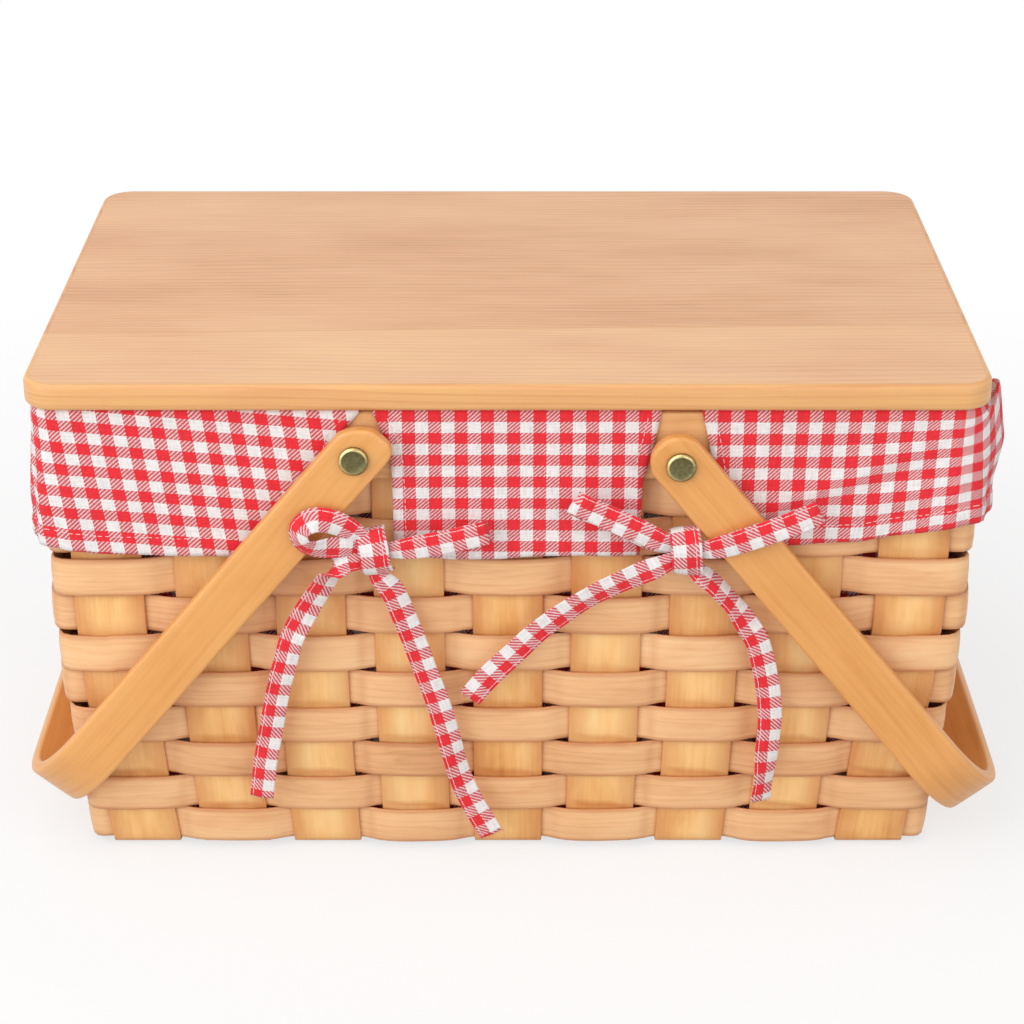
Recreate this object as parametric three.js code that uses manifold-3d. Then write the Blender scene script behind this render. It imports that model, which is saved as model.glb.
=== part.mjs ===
// A picnic basket woven from flat wooden splints. It has a board lid that lifts off, two bent wooden swing
// handles on brass rivets, and a cloth liner with a split skirt that hangs over the rim and is tied with bows.
// Millimetres, +Z up, front towards -Y, origin under the middle of the base.
import * as THREE from 'three';
import { mergeVertices } from 'three/addons/utils/BufferGeometryUtils.js';
import Module from 'manifold-3d';

// Fits
const FIT_GAP = 0.3; // between pieces that touch or slide on each other
const SWING_GAP = 0.8; // between a handle's arm and the lid's edge that it swings past
const REST_GAP = 2; // between a lowered handle's cross part and the end wall: its bends come nearer

// Woven body, measured to the middle of the splints
const BODY_LENGTH = 385;
const BODY_DEPTH = 241;
const CORNER_RADIUS = 6;
const BASE_INSET = 8.5; // how far each wall is drawn in at the base
const INSET_HEIGHT = 130; // the walls are upright above this height
const END_BOW = 4; // how far the middle of an end wall bulges, below that height

// Stakes: the upright splints, which pass under the basket as its base
const STAKE_WIDTH = 30;
const SPLINT_THICKNESS = 1.2;
const FRONT_STAKES = 9;
const END_STAKES = 5;
const FRONT_MARGIN = 2.7; // bare wall between the last front stake and the corner's curve
const END_MARGIN = 6.5;
const STAKE_BEND = 3; // radius of the turn from wall to base

// Weavers: the level hoops of splint, one to a row
const ROWS = 10;
const ROW_PITCH = 18;
const WEAVER_WIDTH = 17.3;
const FIRST_ROW = 5.5; // height at which the lowest row starts

// Rims: a band outside and a band inside the stakes' ends
const RIM_HEIGHT = 30.5;
const RIM_THICKNESS = 3.6;
const STAKE_TOP_DROP = 3; // the stakes end this far below the rims' top

// Liner and its skirt
const CLOTH_THICKNESS = 1.2;
const BAG_CLEARANCE = 2; // between the inner rim and the bag, which leaves room for the rivets' tails
const BAG_CORNER = 4; // least radius of the bag's corners
const SKIRT_DROP = 64;
const SKIRT_RISE = 8; // how much higher the right-hand flap hangs at its far corner
const FRONT_FOLD = 2.2; // depth of the folds where the handles swing past
const END_FOLD = 5.5;
const FOLD_LENGTH = 62;
const FOLD_DRIFT = 1.2; // radians by which the folds move along the rim between the top and the bottom edge
const SKIRT_ROWS = 4;
const SKIRT_STEP = 17; // about how far apart the skirt's points are along the rim
const SLIT_LEFT = 14; // the skirt stops this far left and right of each rivet
const SLIT_RIGHT = 12.5;

// Lid
const LID_OVERHANG_FRONT = 4;
const LID_OVERHANG_END = 3;
const LID_THICKNESS = 11.5;
const LID_CORNER = 14;
const LID_ARRIS = 1.5;
const BATTEN_LENGTH = 190;
const BATTEN_WIDTH = 22;
const BATTEN_THICKNESS = 9;
const BATTEN_FROM_END = 60; // from the lid's end to the batten's middle line
const SCREW_FROM_END = 25; // from a batten's end to its screw
const SCREW_RADIUS = 1.8;
const SCREW_HEAD_RADIUS = 3.6;
const SCREW_HEAD_HEIGHT = 2.2;
const SCREW_BITE = 5; // how deep a screw goes into the lid panel

// Handles and rivets
const HANDLE_REACH = 220.5; // from the rivets to the middle of the cross part
const HANDLE_WIDTH = 23.5;
const HANDLE_THICKNESS = 6;
const HANDLE_BEND = 37; // inner radius where an arm turns into the cross part
const HANDLE_PAST_RIVET = 13;
const RIGHT_HELD_OFF = 2.3; // degrees by which the stiffer right handle hangs short of the wall
const RIVET_SPREAD = 67.3; // half the distance between the two handles' rivets
const RIVET_SHIFT = 4; // both pairs of rivets sit this far to the right of the middle
const RIVET_DROP = 18.3; // below the rims' top
const RIVET_TILT = 1.4; // the left pair sits this much above that, and the right pair this much below
const RIVET_RADIUS = 2.3;
const RIVET_HEAD_RADIUS = 6.2;
const RIVET_HEAD_HEIGHT = 2.4;
const RIVET_TAIL_RADIUS = 4;
const RIVET_TAIL_HEIGHT = 1.2;
const SPACER_RADIUS = 6;

// Bows
const TIE_WIDTH = 10.5;
const TIE_THICKNESS = 1.4;
const KNOT_WIDTH = 15;
const KNOT_HEIGHT = 13;
const KNOT_DEPTH = 8.4;
const KNOT_RISE = 5; // above the skirt's bottom edge
const KNOT_SET_BACK = 1.4; // the tails leave the knot this far behind its middle
const LEFT_KNOT_GAP = 27; // from the lowered arm's edge to the middle of the knot beside it
const RIGHT_KNOT_GAP = 13.65;
const LOOP_LENGTH = 48; // from the knot to the fold
const LOOP_DEPTH = 4.6; // between the two layers of a loop
const TAIL_DROP = 140;

// Steps along curves
const CORNER_SHARES = [0, 0.25, 0.5, 0.75, 1]; // places round a corner's curve
const CROSS_LEG_STEPS = 5;
const LENGTH_LEG_STEPS = 10;
const ROUND_SIDES = 12;
const SCREW_SIDES = 10;
const BEND_STEPS = 5;
const END_STEPS = 8;
const TAIL_STEPS = 7;
const KNOT_SIDES = 8;

// Heights and offsets that follow from these
const HOLD = STAKE_WIDTH / 2 + FIT_GAP; // a weaver lies level over a stake for this far each way
const WEAVE_OFFSET = SPLINT_THICKNESS + FIT_GAP; // from a stake's middle to the middle of a weaver over it
const WEAVER_OUT = WEAVE_OFFSET + SPLINT_THICKNESS / 2;
const BASE_Z = WEAVE_OFFSET + SPLINT_THICKNESS / 2; // middle of the front-to-back splints in the base
const BASE_TOP = BASE_Z + WEAVER_OUT;
const RIM_BOTTOM = FIRST_ROW + ROWS * ROW_PITCH + FIT_GAP;
const RIM_TOP = RIM_BOTTOM + RIM_HEIGHT;
const RIM_IN = SPLINT_THICKNESS / 2 + FIT_GAP; // offset of a rim's near face
const RIM_OUT = RIM_IN + RIM_THICKNESS;
const LIP_BOTTOM = RIM_TOP + FIT_GAP;
const LIP_TOP = LIP_BOTTOM + CLOTH_THICKNESS;
const LID_BOTTOM = LIP_TOP + FIT_GAP;
const LID_LENGTH = BODY_LENGTH + 2 * (RIM_OUT + LID_OVERHANG_END);
const LID_DEPTH = BODY_DEPTH + 2 * (RIM_OUT + LID_OVERHANG_FRONT);
const BATTEN_BOTTOM = LID_BOTTOM - BATTEN_THICKNESS;
const RIM_FACE = BODY_DEPTH / 2 + RIM_OUT; // where the front face of the outer rim lies, from the middle
const HANDLE_IN = LID_DEPTH / 2 + SWING_GAP;
const HANDLE_OUT = HANDLE_IN + HANDLE_THICKNESS;
const SKIRT_IN = RIM_OUT + FIT_GAP; // offset of the skirt's inner face where it hangs straight
const SKIRT_TOP = LIP_BOTTOM - FIT_GAP;
const SKIRT_BOTTOM = SKIRT_TOP - SKIRT_DROP;
const THROUGH = 2 * (HANDLE_OUT + RIVET_HEAD_HEIGHT); // longer than any bore from front to rear

const wasm = await Module();
wasm.setup();

const OAK = { color: 0xd9a566, roughness: 0.6, metalness: 0 };
const SPLINT = { color: 0xd6a76c, roughness: 0.7, metalness: 0 };
const STAKE = { color: 0xddae66, roughness: 0.7, metalness: 0 };
const BOARD = { color: 0xe6bb8f, roughness: 0.5, metalness: 0 };
const HANDLE = { color: 0xcf9a56, roughness: 0.5, metalness: 0 };
const BRASS = { color: 0x8a7440, roughness: 0.4, metalness: 1 };
const STEEL = { color: 0xb9bcc0, roughness: 0.35, metalness: 1 };
const GINGHAM = { color: 0xe97c80, roughness: 0.9, metalness: 0 };

const basket = new THREE.Group();

function addPiece(name, geometry, look, parent = basket) {
  const mesh = new THREE.Mesh(geometry, new THREE.MeshStandardMaterial(look));
  mesh.name = name;
  parent.add(mesh);
  return mesh;
}

// Closed meshes from points and triangles

function signedVolume(points, triangles) {
  let sum = 0;
  for (const [a, b, c] of triangles) {
    sum += points[a].dot(new THREE.Vector3().crossVectors(points[b], points[c]));
  }
  return sum / 6;
}

function closedGeometry(points, triangles) {
  const flip = signedVolume(points, triangles) < 0;
  const geometry = new THREE.BufferGeometry();
  const coordinates = points.flatMap((p) => p.toArray());
  geometry.setAttribute('position', new THREE.Float32BufferAttribute(coordinates, 3));
  geometry.setIndex(triangles.flatMap(([a, b, c]) => (flip ? [a, c, b] : [a, b, c])));
  return geometry;
}

function toSolid(geometry) {
  const bare = geometry.clone();
  bare.deleteAttribute('normal');
  bare.deleteAttribute('uv');
  const merged = mergeVertices(bare, 1e-4);
  return new wasm.Manifold(new wasm.Mesh({
    numProp: 3,
    vertProperties: new Float32Array(merged.attributes.position.array),
    triVerts: new Uint32Array(merged.index.array),
  }));
}

function toGeometry(solid) {
  const mesh = solid.getMesh();
  const geometry = new THREE.BufferGeometry();
  geometry.setAttribute('position', new THREE.BufferAttribute(new Float32Array(mesh.vertProperties), 3));
  geometry.setIndex(new THREE.BufferAttribute(new Uint32Array(mesh.triVerts), 1));
  return geometry;
}

function cut(geometry, ...tools) {
  return toGeometry(tools.reduce((solid, tool) => solid.subtract(toSolid(tool)), toSolid(geometry)));
}

// A flat strip swept along points. widths holds the direction across the strip at each point.
function sweptStrip(points, widths, width, thickness, closed) {
  const corners = [];
  const count = points.length;
  for (let i = 0; i < count; i += 1) {
    const before = closed ? points[(i + count - 1) % count] : points[Math.max(i - 1, 0)];
    const after = closed ? points[(i + 1) % count] : points[Math.min(i + 1, count - 1)];
    const along = new THREE.Vector3().subVectors(after, before).normalize();
    const across = widths[i].clone().addScaledVector(along, -widths[i].dot(along)).normalize();
    const out = new THREE.Vector3().crossVectors(along, across);
    for (const [w, t] of [[-1, -1], [1, -1], [1, 1], [-1, 1]]) {
      corners.push(points[i].clone()
        .addScaledVector(across, (w * width) / 2)
        .addScaledVector(out, (t * thickness) / 2));
    }
  }
  const triangles = [];
  const steps = closed ? count : count - 1;
  for (let i = 0; i < steps; i += 1) {
    const a = i * 4;
    const b = ((i + 1) % count) * 4;
    for (let k = 0; k < 4; k += 1) {
      const n = (k + 1) % 4;
      triangles.push([a + k, a + n, b + n], [a + k, b + n, b + k]);
    }
  }
  if (!closed) {
    const last = (count - 1) * 4;
    triangles.push([0, 2, 1], [0, 3, 2], [last, last + 1, last + 2], [last, last + 2, last + 3]);
  }
  return closedGeometry(corners, triangles);
}

// The wall's middle surface. Walls are numbered 0 front, 1 right, 2 rear, 3 left, and s runs along each wall
// towards the next one.

function wallInset(z) {
  return BASE_INSET * Math.max(0, 1 - z / INSET_HEIGHT) ** 2;
}

function halfLength(z) {
  return BODY_LENGTH / 2 - wallInset(z);
}

function halfDepth(z) {
  return BODY_DEPTH / 2 - wallInset(z);
}

function endBow(s, z) {
  const belly = z < INSET_HEIGHT ? Math.sin((Math.PI * z) / INSET_HEIGHT) : 0;
  return END_BOW * Math.max(belly, 0) * (1 - (s / (halfDepth(z) - CORNER_RADIUS)) ** 2);
}

function turned(x, y, z, wall) {
  const quarter = [[x, y], [-y, x], [-x, -y], [y, -x]][wall];
  return new THREE.Vector3(quarter[0], quarter[1], z);
}

function wallSizes(wall, z) {
  const sizes = [halfLength(z), halfDepth(z)];
  return wall % 2 === 0 ? { along: sizes[0], out: sizes[1] } : { along: sizes[1], out: sizes[0] };
}

function wallPoint(wall, s, z) {
  const bow = wall % 2 === 1 ? endBow(s, z) : 0;
  return turned(s, -(wallSizes(wall, z).out + bow), z, wall);
}

// A point on the curve between a wall and the next one, for t from 0 to 1
function cornerPoint(wall, t, z) {
  const { along, out } = wallSizes(wall, z);
  const angle = (t - 1) * (Math.PI / 2);
  return turned(
    along - CORNER_RADIUS + CORNER_RADIUS * Math.cos(angle),
    -(out - CORNER_RADIUS) + CORNER_RADIUS * Math.sin(angle),
    z,
    wall,
  );
}

// The point, the upward direction and the outward direction of a place on the wall or on a corner
function frameAt(place, wall, s, z) {
  const step = 0.01;
  const along = new THREE.Vector3().subVectors(place(wall, s + step, z), place(wall, s - step, z));
  const up = new THREE.Vector3().subVectors(place(wall, s, z + step), place(wall, s, z - step));
  const out = new THREE.Vector3().crossVectors(along, up).normalize();
  return { point: place(wall, s, z), along: along.normalize(), up: up.normalize(), out };
}

function lifted(frame, offset) {
  return frame.point.clone().addScaledVector(frame.out, offset);
}

function stakePitch(wall, z) {
  const count = wall % 2 === 0 ? FRONT_STAKES : END_STAKES;
  const margin = wall % 2 === 0 ? FRONT_MARGIN : END_MARGIN;
  const straight = 2 * (wallSizes(wall, z).along - CORNER_RADIUS);
  return (straight - STAKE_WIDTH - 2 * margin) / (count - 1);
}

function stakeCentres(wall, z) {
  const count = wall % 2 === 0 ? FRONT_STAKES : END_STAKES;
  return Array.from({ length: count }, (_, k) => (k - (count - 1) / 2) * stakePitch(wall, z));
}

// Weavers: each row goes over one stake and under the next, and the rows take turns

function weaver(row) {
  const z = FIRST_ROW + (ROWS - row - 0.5) * ROW_PITCH;
  const points = [];
  const widths = [];
  const put = (frame, offset) => {
    points.push(lifted(frame, offset));
    widths.push(frame.up);
  };
  let stake = 0;
  for (let wall = 0; wall < 4; wall += 1) {
    for (const s of stakeCentres(wall, z)) {
      const side = (stake + row) % 2 === 0 ? 1 : -1;
      put(frameAt(wallPoint, wall, s - HOLD, z), side * WEAVE_OFFSET);
      put(frameAt(wallPoint, wall, s + HOLD, z), side * WEAVE_OFFSET);
      stake += 1;
    }
    const last = (stake - 1 + row) % 2 === 0 ? 1 : -1;
    for (const t of [0.1, 0.5, 0.9]) {
      put(frameAt(cornerPoint, wall, t, z), last * WEAVE_OFFSET * (1 - 2 * t));
    }
  }
  return sweptStrip(points, widths, WEAVER_WIDTH, SPLINT_THICKNESS, true);
}

for (let row = 0; row < ROWS; row += 1) {
  addPiece(`weaver_${String(row + 1).padStart(2, '0')}`, weaver(row), SPLINT);
}

// Rivet places, and the bores that they pass through

const handleSides = [['left', -1], ['right', 1]];
const faceSides = [['front', -1], ['rear', 1]];

function rivetX(side) {
  return RIVET_SHIFT + side * RIVET_SPREAD;
}

function rivetZ(side) {
  return RIM_TOP - RIVET_DROP - side * RIVET_TILT;
}

// Runs from front to rear through the origin
function rivetBore() {
  return new THREE.CylinderGeometry(RIVET_RADIUS + FIT_GAP, RIVET_RADIUS + FIT_GAP, THROUGH, ROUND_SIDES);
}

const rivetBores = handleSides.map(([, side]) => rivetBore().translate(rivetX(side), 0, rivetZ(side)));

// Stakes: up one wall, under the basket and up the other wall

// Heights from where the wall starts to lean down to its foot, in equal steps
function leaningHeights(steps) {
  return Array.from({ length: steps }, (_, i) => INSET_HEIGHT * (1 - i / steps));
}

function legPoints(place, index, steps) {
  const heights = [RIM_TOP - STAKE_TOP_DROP, ...leaningHeights(steps), BASE_Z + STAKE_BEND];
  return heights.map((z) => place(index, z));
}

// The turn from the foot of a leg to the level base
function bendPoints(foot, inward) {
  return [30, 60, 90].map((degrees) => {
    const angle = THREE.MathUtils.degToRad(degrees);
    return foot.clone()
      .addScaledVector(inward, STAKE_BEND * (1 - Math.cos(angle)))
      .add(new THREE.Vector3(0, 0, -STAKE_BEND * Math.sin(angle)));
  });
}

function crossStake(index) {
  const across = new THREE.Vector3(1, 0, 0);
  const place = (k, z) => wallPoint(0, stakeCentres(0, z)[k], z);
  const front = legPoints(place, index, CROSS_LEG_STEPS);
  const half = [...front, ...bendPoints(front.at(-1), new THREE.Vector3(0, 1, 0))];
  const rear = half.map((p) => new THREE.Vector3(p.x, -p.y, p.z)).reverse();
  const points = [...half, ...rear];
  const strip = sweptStrip(points, points.map(() => across), STAKE_WIDTH, SPLINT_THICKNESS, false);
  return cut(strip, ...rivetBores);
}

function lengthStake(index) {
  const place = (k, z) => frameAt(wallPoint, 1, stakeCentres(1, z)[k], z);
  const frames = legPoints(place, index, LENGTH_LEG_STEPS);
  const legs = frames.map((frame) => frame.point);
  const inward = new THREE.Vector3(-1, 0, 0);
  const half = [...legs, ...bendPoints(legs.at(-1), inward)];
  const slopes = half.map((_, i) => frames[Math.min(i, frames.length - 1)].along);
  const level = half.at(-1).z;
  const base = [];
  stakeCentres(0, 0).forEach((x, k) => {
    const z = level + ((k + index) % 2 === 0 ? 1 : -1) * WEAVE_OFFSET;
    base.push(new THREE.Vector3(x - HOLD, half.at(-1).y, z), new THREE.Vector3(x + HOLD, half.at(-1).y, z));
  });
  const mirrored = (p) => new THREE.Vector3(-p.x, p.y, p.z);
  const points = [...half, ...base.reverse(), ...half.map(mirrored).reverse()];
  const widths = [
    ...slopes,
    ...base.map(() => new THREE.Vector3(0, 1, 0)),
    ...slopes.map(mirrored).reverse(),
  ];
  return sweptStrip(points, widths, STAKE_WIDTH, SPLINT_THICKNESS, false);
}

for (let k = 0; k < FRONT_STAKES; k += 1) {
  addPiece(`cross_stake_${k + 1}`, crossStake(k), STAKE);
}
for (let k = 0; k < END_STAKES; k += 1) {
  addPiece(`length_stake_${k + 1}`, lengthStake(k), STAKE);
}

// Rims

function rim(offset) {
  const z = (RIM_BOTTOM + RIM_TOP) / 2;
  const points = [];
  for (let wall = 0; wall < 4; wall += 1) {
    for (const t of CORNER_SHARES) {
      points.push(lifted(frameAt(cornerPoint, wall, t, z), offset));
    }
  }
  const widths = points.map(() => new THREE.Vector3(0, 0, 1));
  return cut(sweptStrip(points, widths, RIM_HEIGHT, RIM_THICKNESS, true), ...rivetBores);
}

addPiece('rim_outer', rim(RIM_IN + RIM_THICKNESS / 2), OAK);
addPiece('rim_inner', rim(-RIM_IN - RIM_THICKNESS / 2), OAK);

// Liner bag: floor, walls and the lip that lies over both rims

// A level ring at height z, this far out from the wall's middle as it is at height shapeZ
function ringPoints(offset, z, shapeZ) {
  const radius = Math.max(CORNER_RADIUS + offset, BAG_CORNER);
  const ring = [];
  for (let wall = 0; wall < 4; wall += 1) {
    const { along, out } = wallSizes(wall, shapeZ);
    for (const t of CORNER_SHARES) {
      const angle = (t - 1) * (Math.PI / 2);
      const x = along + offset - radius + radius * Math.cos(angle);
      const y = -(out + offset - radius) + radius * Math.sin(angle);
      ring.push(turned(x, y, z, wall));
    }
  }
  return ring;
}

function linerBag() {
  const outer = -(RIM_OUT + BAG_CLEARANCE);
  const inner = outer - CLOTH_THICKNESS;
  const floor = BASE_TOP + FIT_GAP;
  const heights = leaningHeights(CROSS_LEG_STEPS).reverse();
  const rings = [
    ringPoints(outer, floor, floor),
    ...heights.map((z) => ringPoints(outer, z, z)),
    ringPoints(outer, LIP_BOTTOM, LIP_BOTTOM),
    ringPoints(SKIRT_IN + CLOTH_THICKNESS, LIP_BOTTOM, LIP_BOTTOM),
    ringPoints(SKIRT_IN + CLOTH_THICKNESS, LIP_TOP, LIP_TOP),
    ringPoints(inner, LIP_TOP, LIP_TOP),
    ...heights.slice().reverse().map((z) => ringPoints(inner, z, z)),
    ringPoints(inner, floor + CLOTH_THICKNESS, floor),
  ];
  const count = rings[0].length;
  const triangles = [];
  for (let r = 0; r + 1 < rings.length; r += 1) {
    for (let i = 0; i < count; i += 1) {
      const n = (i + 1) % count;
      const a = r * count;
      const b = a + count;
      triangles.push([a + i, a + n, b + n], [a + i, b + n, b + i]);
    }
  }
  const last = (rings.length - 1) * count;
  for (let i = 1; i + 1 < count; i += 1) {
    triangles.push([0, i + 1, i], [last, last + i, last + i + 1]);
  }
  return closedGeometry(rings.flat(), triangles);
}

addPiece('liner_bag', linerBag(), GINGHAM);

// Skirt: each flap is a thin sheet that hangs from the lip and falls in folds. Its stations are places along
// the rim, with the depth that its folds may have there.

function wallStations(wall, from, to, fold) {
  const steps = Math.max(1, Math.round(Math.abs(to - from) / SKIRT_STEP));
  return Array.from({ length: steps + 1 }, (_, i) => {
    const s = from + ((to - from) * i) / steps;
    return { frame: frameAt(wallPoint, wall, s, RIM_TOP), fold };
  });
}

function cornerStations(wall, foldBefore, foldAfter) {
  return CORNER_SHARES.slice(1, -1).map((t) => ({
    frame: frameAt(cornerPoint, wall, t, RIM_TOP),
    fold: foldBefore + (foldAfter - foldBefore) * t,
  }));
}

function flap(stations, riseAt) {
  const rows = SKIRT_ROWS;
  let length = 0;
  const inner = [];
  const outer = [];
  stations.forEach(({ frame, fold }, i) => {
    if (i > 0) {
      length += frame.point.distanceTo(stations[i - 1].frame.point);
    }
    const drop = SKIRT_DROP - riseAt(frame.point);
    for (let r = 0; r <= rows; r += 1) {
      const share = r / rows;
      const wave = (1 - Math.cos((2 * Math.PI * length) / FOLD_LENGTH + FOLD_DRIFT * share)) / 2;
      const depth = SKIRT_IN + fold * wave * Math.sqrt(share);
      const down = new THREE.Vector3(0, 0, SKIRT_TOP - drop * share - frame.point.z);
      inner.push(lifted(frame, depth).add(down));
      outer.push(lifted(frame, depth + CLOTH_THICKNESS).add(down));
    }
  });
  const points = [...inner, ...outer];
  const shift = inner.length;
  const span = rows + 1;
  const triangles = [];
  const quad = (a, b, c, d) => triangles.push([a, b, c], [a, c, d]);
  for (let i = 0; i + 1 < stations.length; i += 1) {
    const a = i * span;
    const b = a + span;
    for (let r = 0; r < rows; r += 1) {
      quad(a + r, a + r + 1, b + r + 1, b + r);
      quad(shift + a + r, shift + b + r, shift + b + r + 1, shift + a + r + 1);
    }
    quad(a, b, shift + b, shift + a);
    quad(a + rows, shift + a + rows, shift + b + rows, b + rows);
  }
  const end = (stations.length - 1) * span;
  for (let r = 0; r < rows; r += 1) {
    quad(r, shift + r, shift + r + 1, r + 1);
    quad(end + r, end + r + 1, shift + end + r + 1, shift + end + r);
  }
  return closedGeometry(points, triangles);
}

function mirroredY(geometry) {
  const mirrored = geometry.clone().scale(1, -1, 1);
  const order = Array.from(mirrored.index.array);
  for (let i = 0; i < order.length; i += 3) {
    [order[i + 1], order[i + 2]] = [order[i + 2], order[i + 1]];
  }
  mirrored.setIndex(order);
  return mirrored;
}

const centreFrom = rivetX(-1) + SLIT_RIGHT;
const centreTo = rivetX(1) - SLIT_LEFT;
const frontFlap = flap(wallStations(0, centreFrom, centreTo, FRONT_FOLD), () => 0);
addPiece('skirt_front', frontFlap, GINGHAM);
addPiece('skirt_rear', mirroredY(frontFlap), GINGHAM);

const wallEnd = [BODY_LENGTH / 2 - CORNER_RADIUS, BODY_DEPTH / 2 - CORNER_RADIUS];
const rightRoute = [
  ...wallStations(0, rivetX(1) + SLIT_RIGHT, wallEnd[0], FRONT_FOLD),
  ...cornerStations(0, FRONT_FOLD, END_FOLD),
  ...wallStations(1, -wallEnd[1], wallEnd[1], END_FOLD),
  ...cornerStations(1, END_FOLD, FRONT_FOLD),
  ...wallStations(2, -wallEnd[0], -rivetX(1) - SLIT_RIGHT, FRONT_FOLD),
];
const leftRoute = [
  ...wallStations(2, -rivetX(-1) + SLIT_LEFT, wallEnd[0], FRONT_FOLD),
  ...cornerStations(2, FRONT_FOLD, END_FOLD),
  ...wallStations(3, -wallEnd[1], wallEnd[1], END_FOLD),
  ...cornerStations(3, END_FOLD, FRONT_FOLD),
  ...wallStations(0, -wallEnd[0], rivetX(-1) - SLIT_LEFT, FRONT_FOLD),
];
const riseOnRight = (point) => {
  const from = rivetX(1) + SLIT_RIGHT;
  return SKIRT_RISE * Math.min(1, Math.max(0, (point.x - from) / (BODY_LENGTH / 2 - from)));
};
addPiece('skirt_right', flap(rightRoute, riseOnRight), GINGHAM);
addPiece('skirt_left', flap(leftRoute, () => 0), GINGHAM);

// Lid: a panel with two battens screwed to its underside

function roundedOutline(length, depth, radius) {
  const x = length / 2 - radius;
  const y = depth / 2 - radius;
  const outline = new THREE.Shape();
  outline.absarc(x, y, radius, 0, Math.PI / 2);
  outline.absarc(-x, y, radius, Math.PI / 2, Math.PI);
  outline.absarc(-x, -y, radius, Math.PI, 1.5 * Math.PI);
  outline.absarc(x, -y, radius, 1.5 * Math.PI, 2 * Math.PI);
  return outline;
}

function lidPanel() {
  const shrink = 2 * LID_ARRIS; // the bevel puts this back
  const outline = roundedOutline(LID_LENGTH - shrink, LID_DEPTH - shrink, LID_CORNER - LID_ARRIS);
  const geometry = new THREE.ExtrudeGeometry(outline, {
    depth: LID_THICKNESS - 2 * LID_ARRIS,
    bevelSize: LID_ARRIS,
    bevelThickness: LID_ARRIS,
    bevelSegments: 1,
    curveSegments: BEND_STEPS,
  });
  return geometry.translate(0, 0, LID_BOTTOM + LID_ARRIS);
}

const battenX = LID_LENGTH / 2 - BATTEN_FROM_END;
const screwY = BATTEN_LENGTH / 2 - SCREW_FROM_END;
const screwPlaces = handleSides.flatMap(([end, x]) => faceSides.map(([face, y]) => ({
  name: `${face}_${end}`,
  x: x * battenX,
  y: y * screwY,
})));

// Profiles are pairs of radius and height, from the bottom up
function turnedPiece(profile, segments) {
  const outline = profile.map(([radius, height]) => new THREE.Vector2(radius, height));
  return new THREE.LatheGeometry(outline, segments).rotateX(Math.PI / 2);
}

function screwShape(gap) {
  const head = SCREW_HEAD_RADIUS + gap;
  const shank = SCREW_RADIUS + gap;
  const length = BATTEN_THICKNESS + SCREW_BITE;
  return turnedPiece(
    [[0, -gap], [head, -gap], [shank, SCREW_HEAD_HEIGHT], [shank, length], [0, length + gap]],
    SCREW_SIDES,
  );
}

const screwBores = screwPlaces.map(({ x, y }) => screwShape(FIT_GAP).translate(x, y, BATTEN_BOTTOM));
addPiece('lid_panel', cut(lidPanel(), ...screwBores), BOARD);
for (const [end, side] of handleSides) {
  const batten = new THREE.BoxGeometry(BATTEN_WIDTH, BATTEN_LENGTH, BATTEN_THICKNESS);
  batten.translate(side * battenX, 0, BATTEN_BOTTOM + BATTEN_THICKNESS / 2);
  addPiece(`lid_batten_${end}`, cut(batten, ...screwBores), BOARD);
}
for (const { name, x, y } of screwPlaces) {
  addPiece(`lid_screw_${name}`, screwShape(0).translate(x, y, BATTEN_BOTTOM), STEEL);
}

// Handles: a bent band with two arms and a cross part, hung on its rivets

function handleBand() {
  const inner = HANDLE_REACH - HANDLE_THICKNESS / 2;
  const outer = HANDLE_REACH + HANDLE_THICKNESS / 2;
  const bendOut = HANDLE_BEND + HANDLE_THICKNESS;
  const profile = new THREE.Shape();
  profile.moveTo(-HANDLE_PAST_RIVET, -HANDLE_OUT);
  profile.lineTo(outer - bendOut, -HANDLE_OUT);
  profile.absarc(outer - bendOut, -HANDLE_OUT + bendOut, bendOut, -Math.PI / 2, 0);
  profile.absarc(outer - bendOut, HANDLE_OUT - bendOut, bendOut, 0, Math.PI / 2);
  profile.lineTo(-HANDLE_PAST_RIVET, HANDLE_OUT);
  profile.lineTo(-HANDLE_PAST_RIVET, HANDLE_IN);
  profile.absarc(inner - HANDLE_BEND, HANDLE_IN - HANDLE_BEND, HANDLE_BEND, Math.PI / 2, 0, true);
  profile.absarc(inner - HANDLE_BEND, -HANDLE_IN + HANDLE_BEND, HANDLE_BEND, 0, -Math.PI / 2, true);
  profile.lineTo(-HANDLE_PAST_RIVET, -HANDLE_IN);
  const band = new THREE.ExtrudeGeometry(profile, {
    depth: HANDLE_WIDTH,
    bevelEnabled: false,
    curveSegments: BEND_STEPS,
  });
  return band.translate(0, 0, -HANDLE_WIDTH / 2);
}

// The band's outline seen from the front, with its rounded ends
function handleOutline() {
  const half = HANDLE_WIDTH / 2;
  const outline = new THREE.Shape();
  outline.moveTo(HANDLE_REACH + HANDLE_THICKNESS, half);
  outline.lineTo(half - HANDLE_PAST_RIVET, half);
  outline.absarc(half - HANDLE_PAST_RIVET, 0, half, Math.PI / 2, 1.5 * Math.PI);
  outline.lineTo(HANDLE_REACH + HANDLE_THICKNESS, -half);
  const cutter = new THREE.ExtrudeGeometry(outline, {
    depth: THROUGH,
    bevelEnabled: false,
    curveSegments: END_STEPS,
  });
  return cutter.translate(0, 0, -THROUGH / 2).rotateX(Math.PI / 2);
}

function handleSolid() {
  const rounded = toSolid(handleBand()).intersect(toSolid(handleOutline()));
  return toGeometry(rounded.subtract(toSolid(rivetBore())));
}

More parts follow.
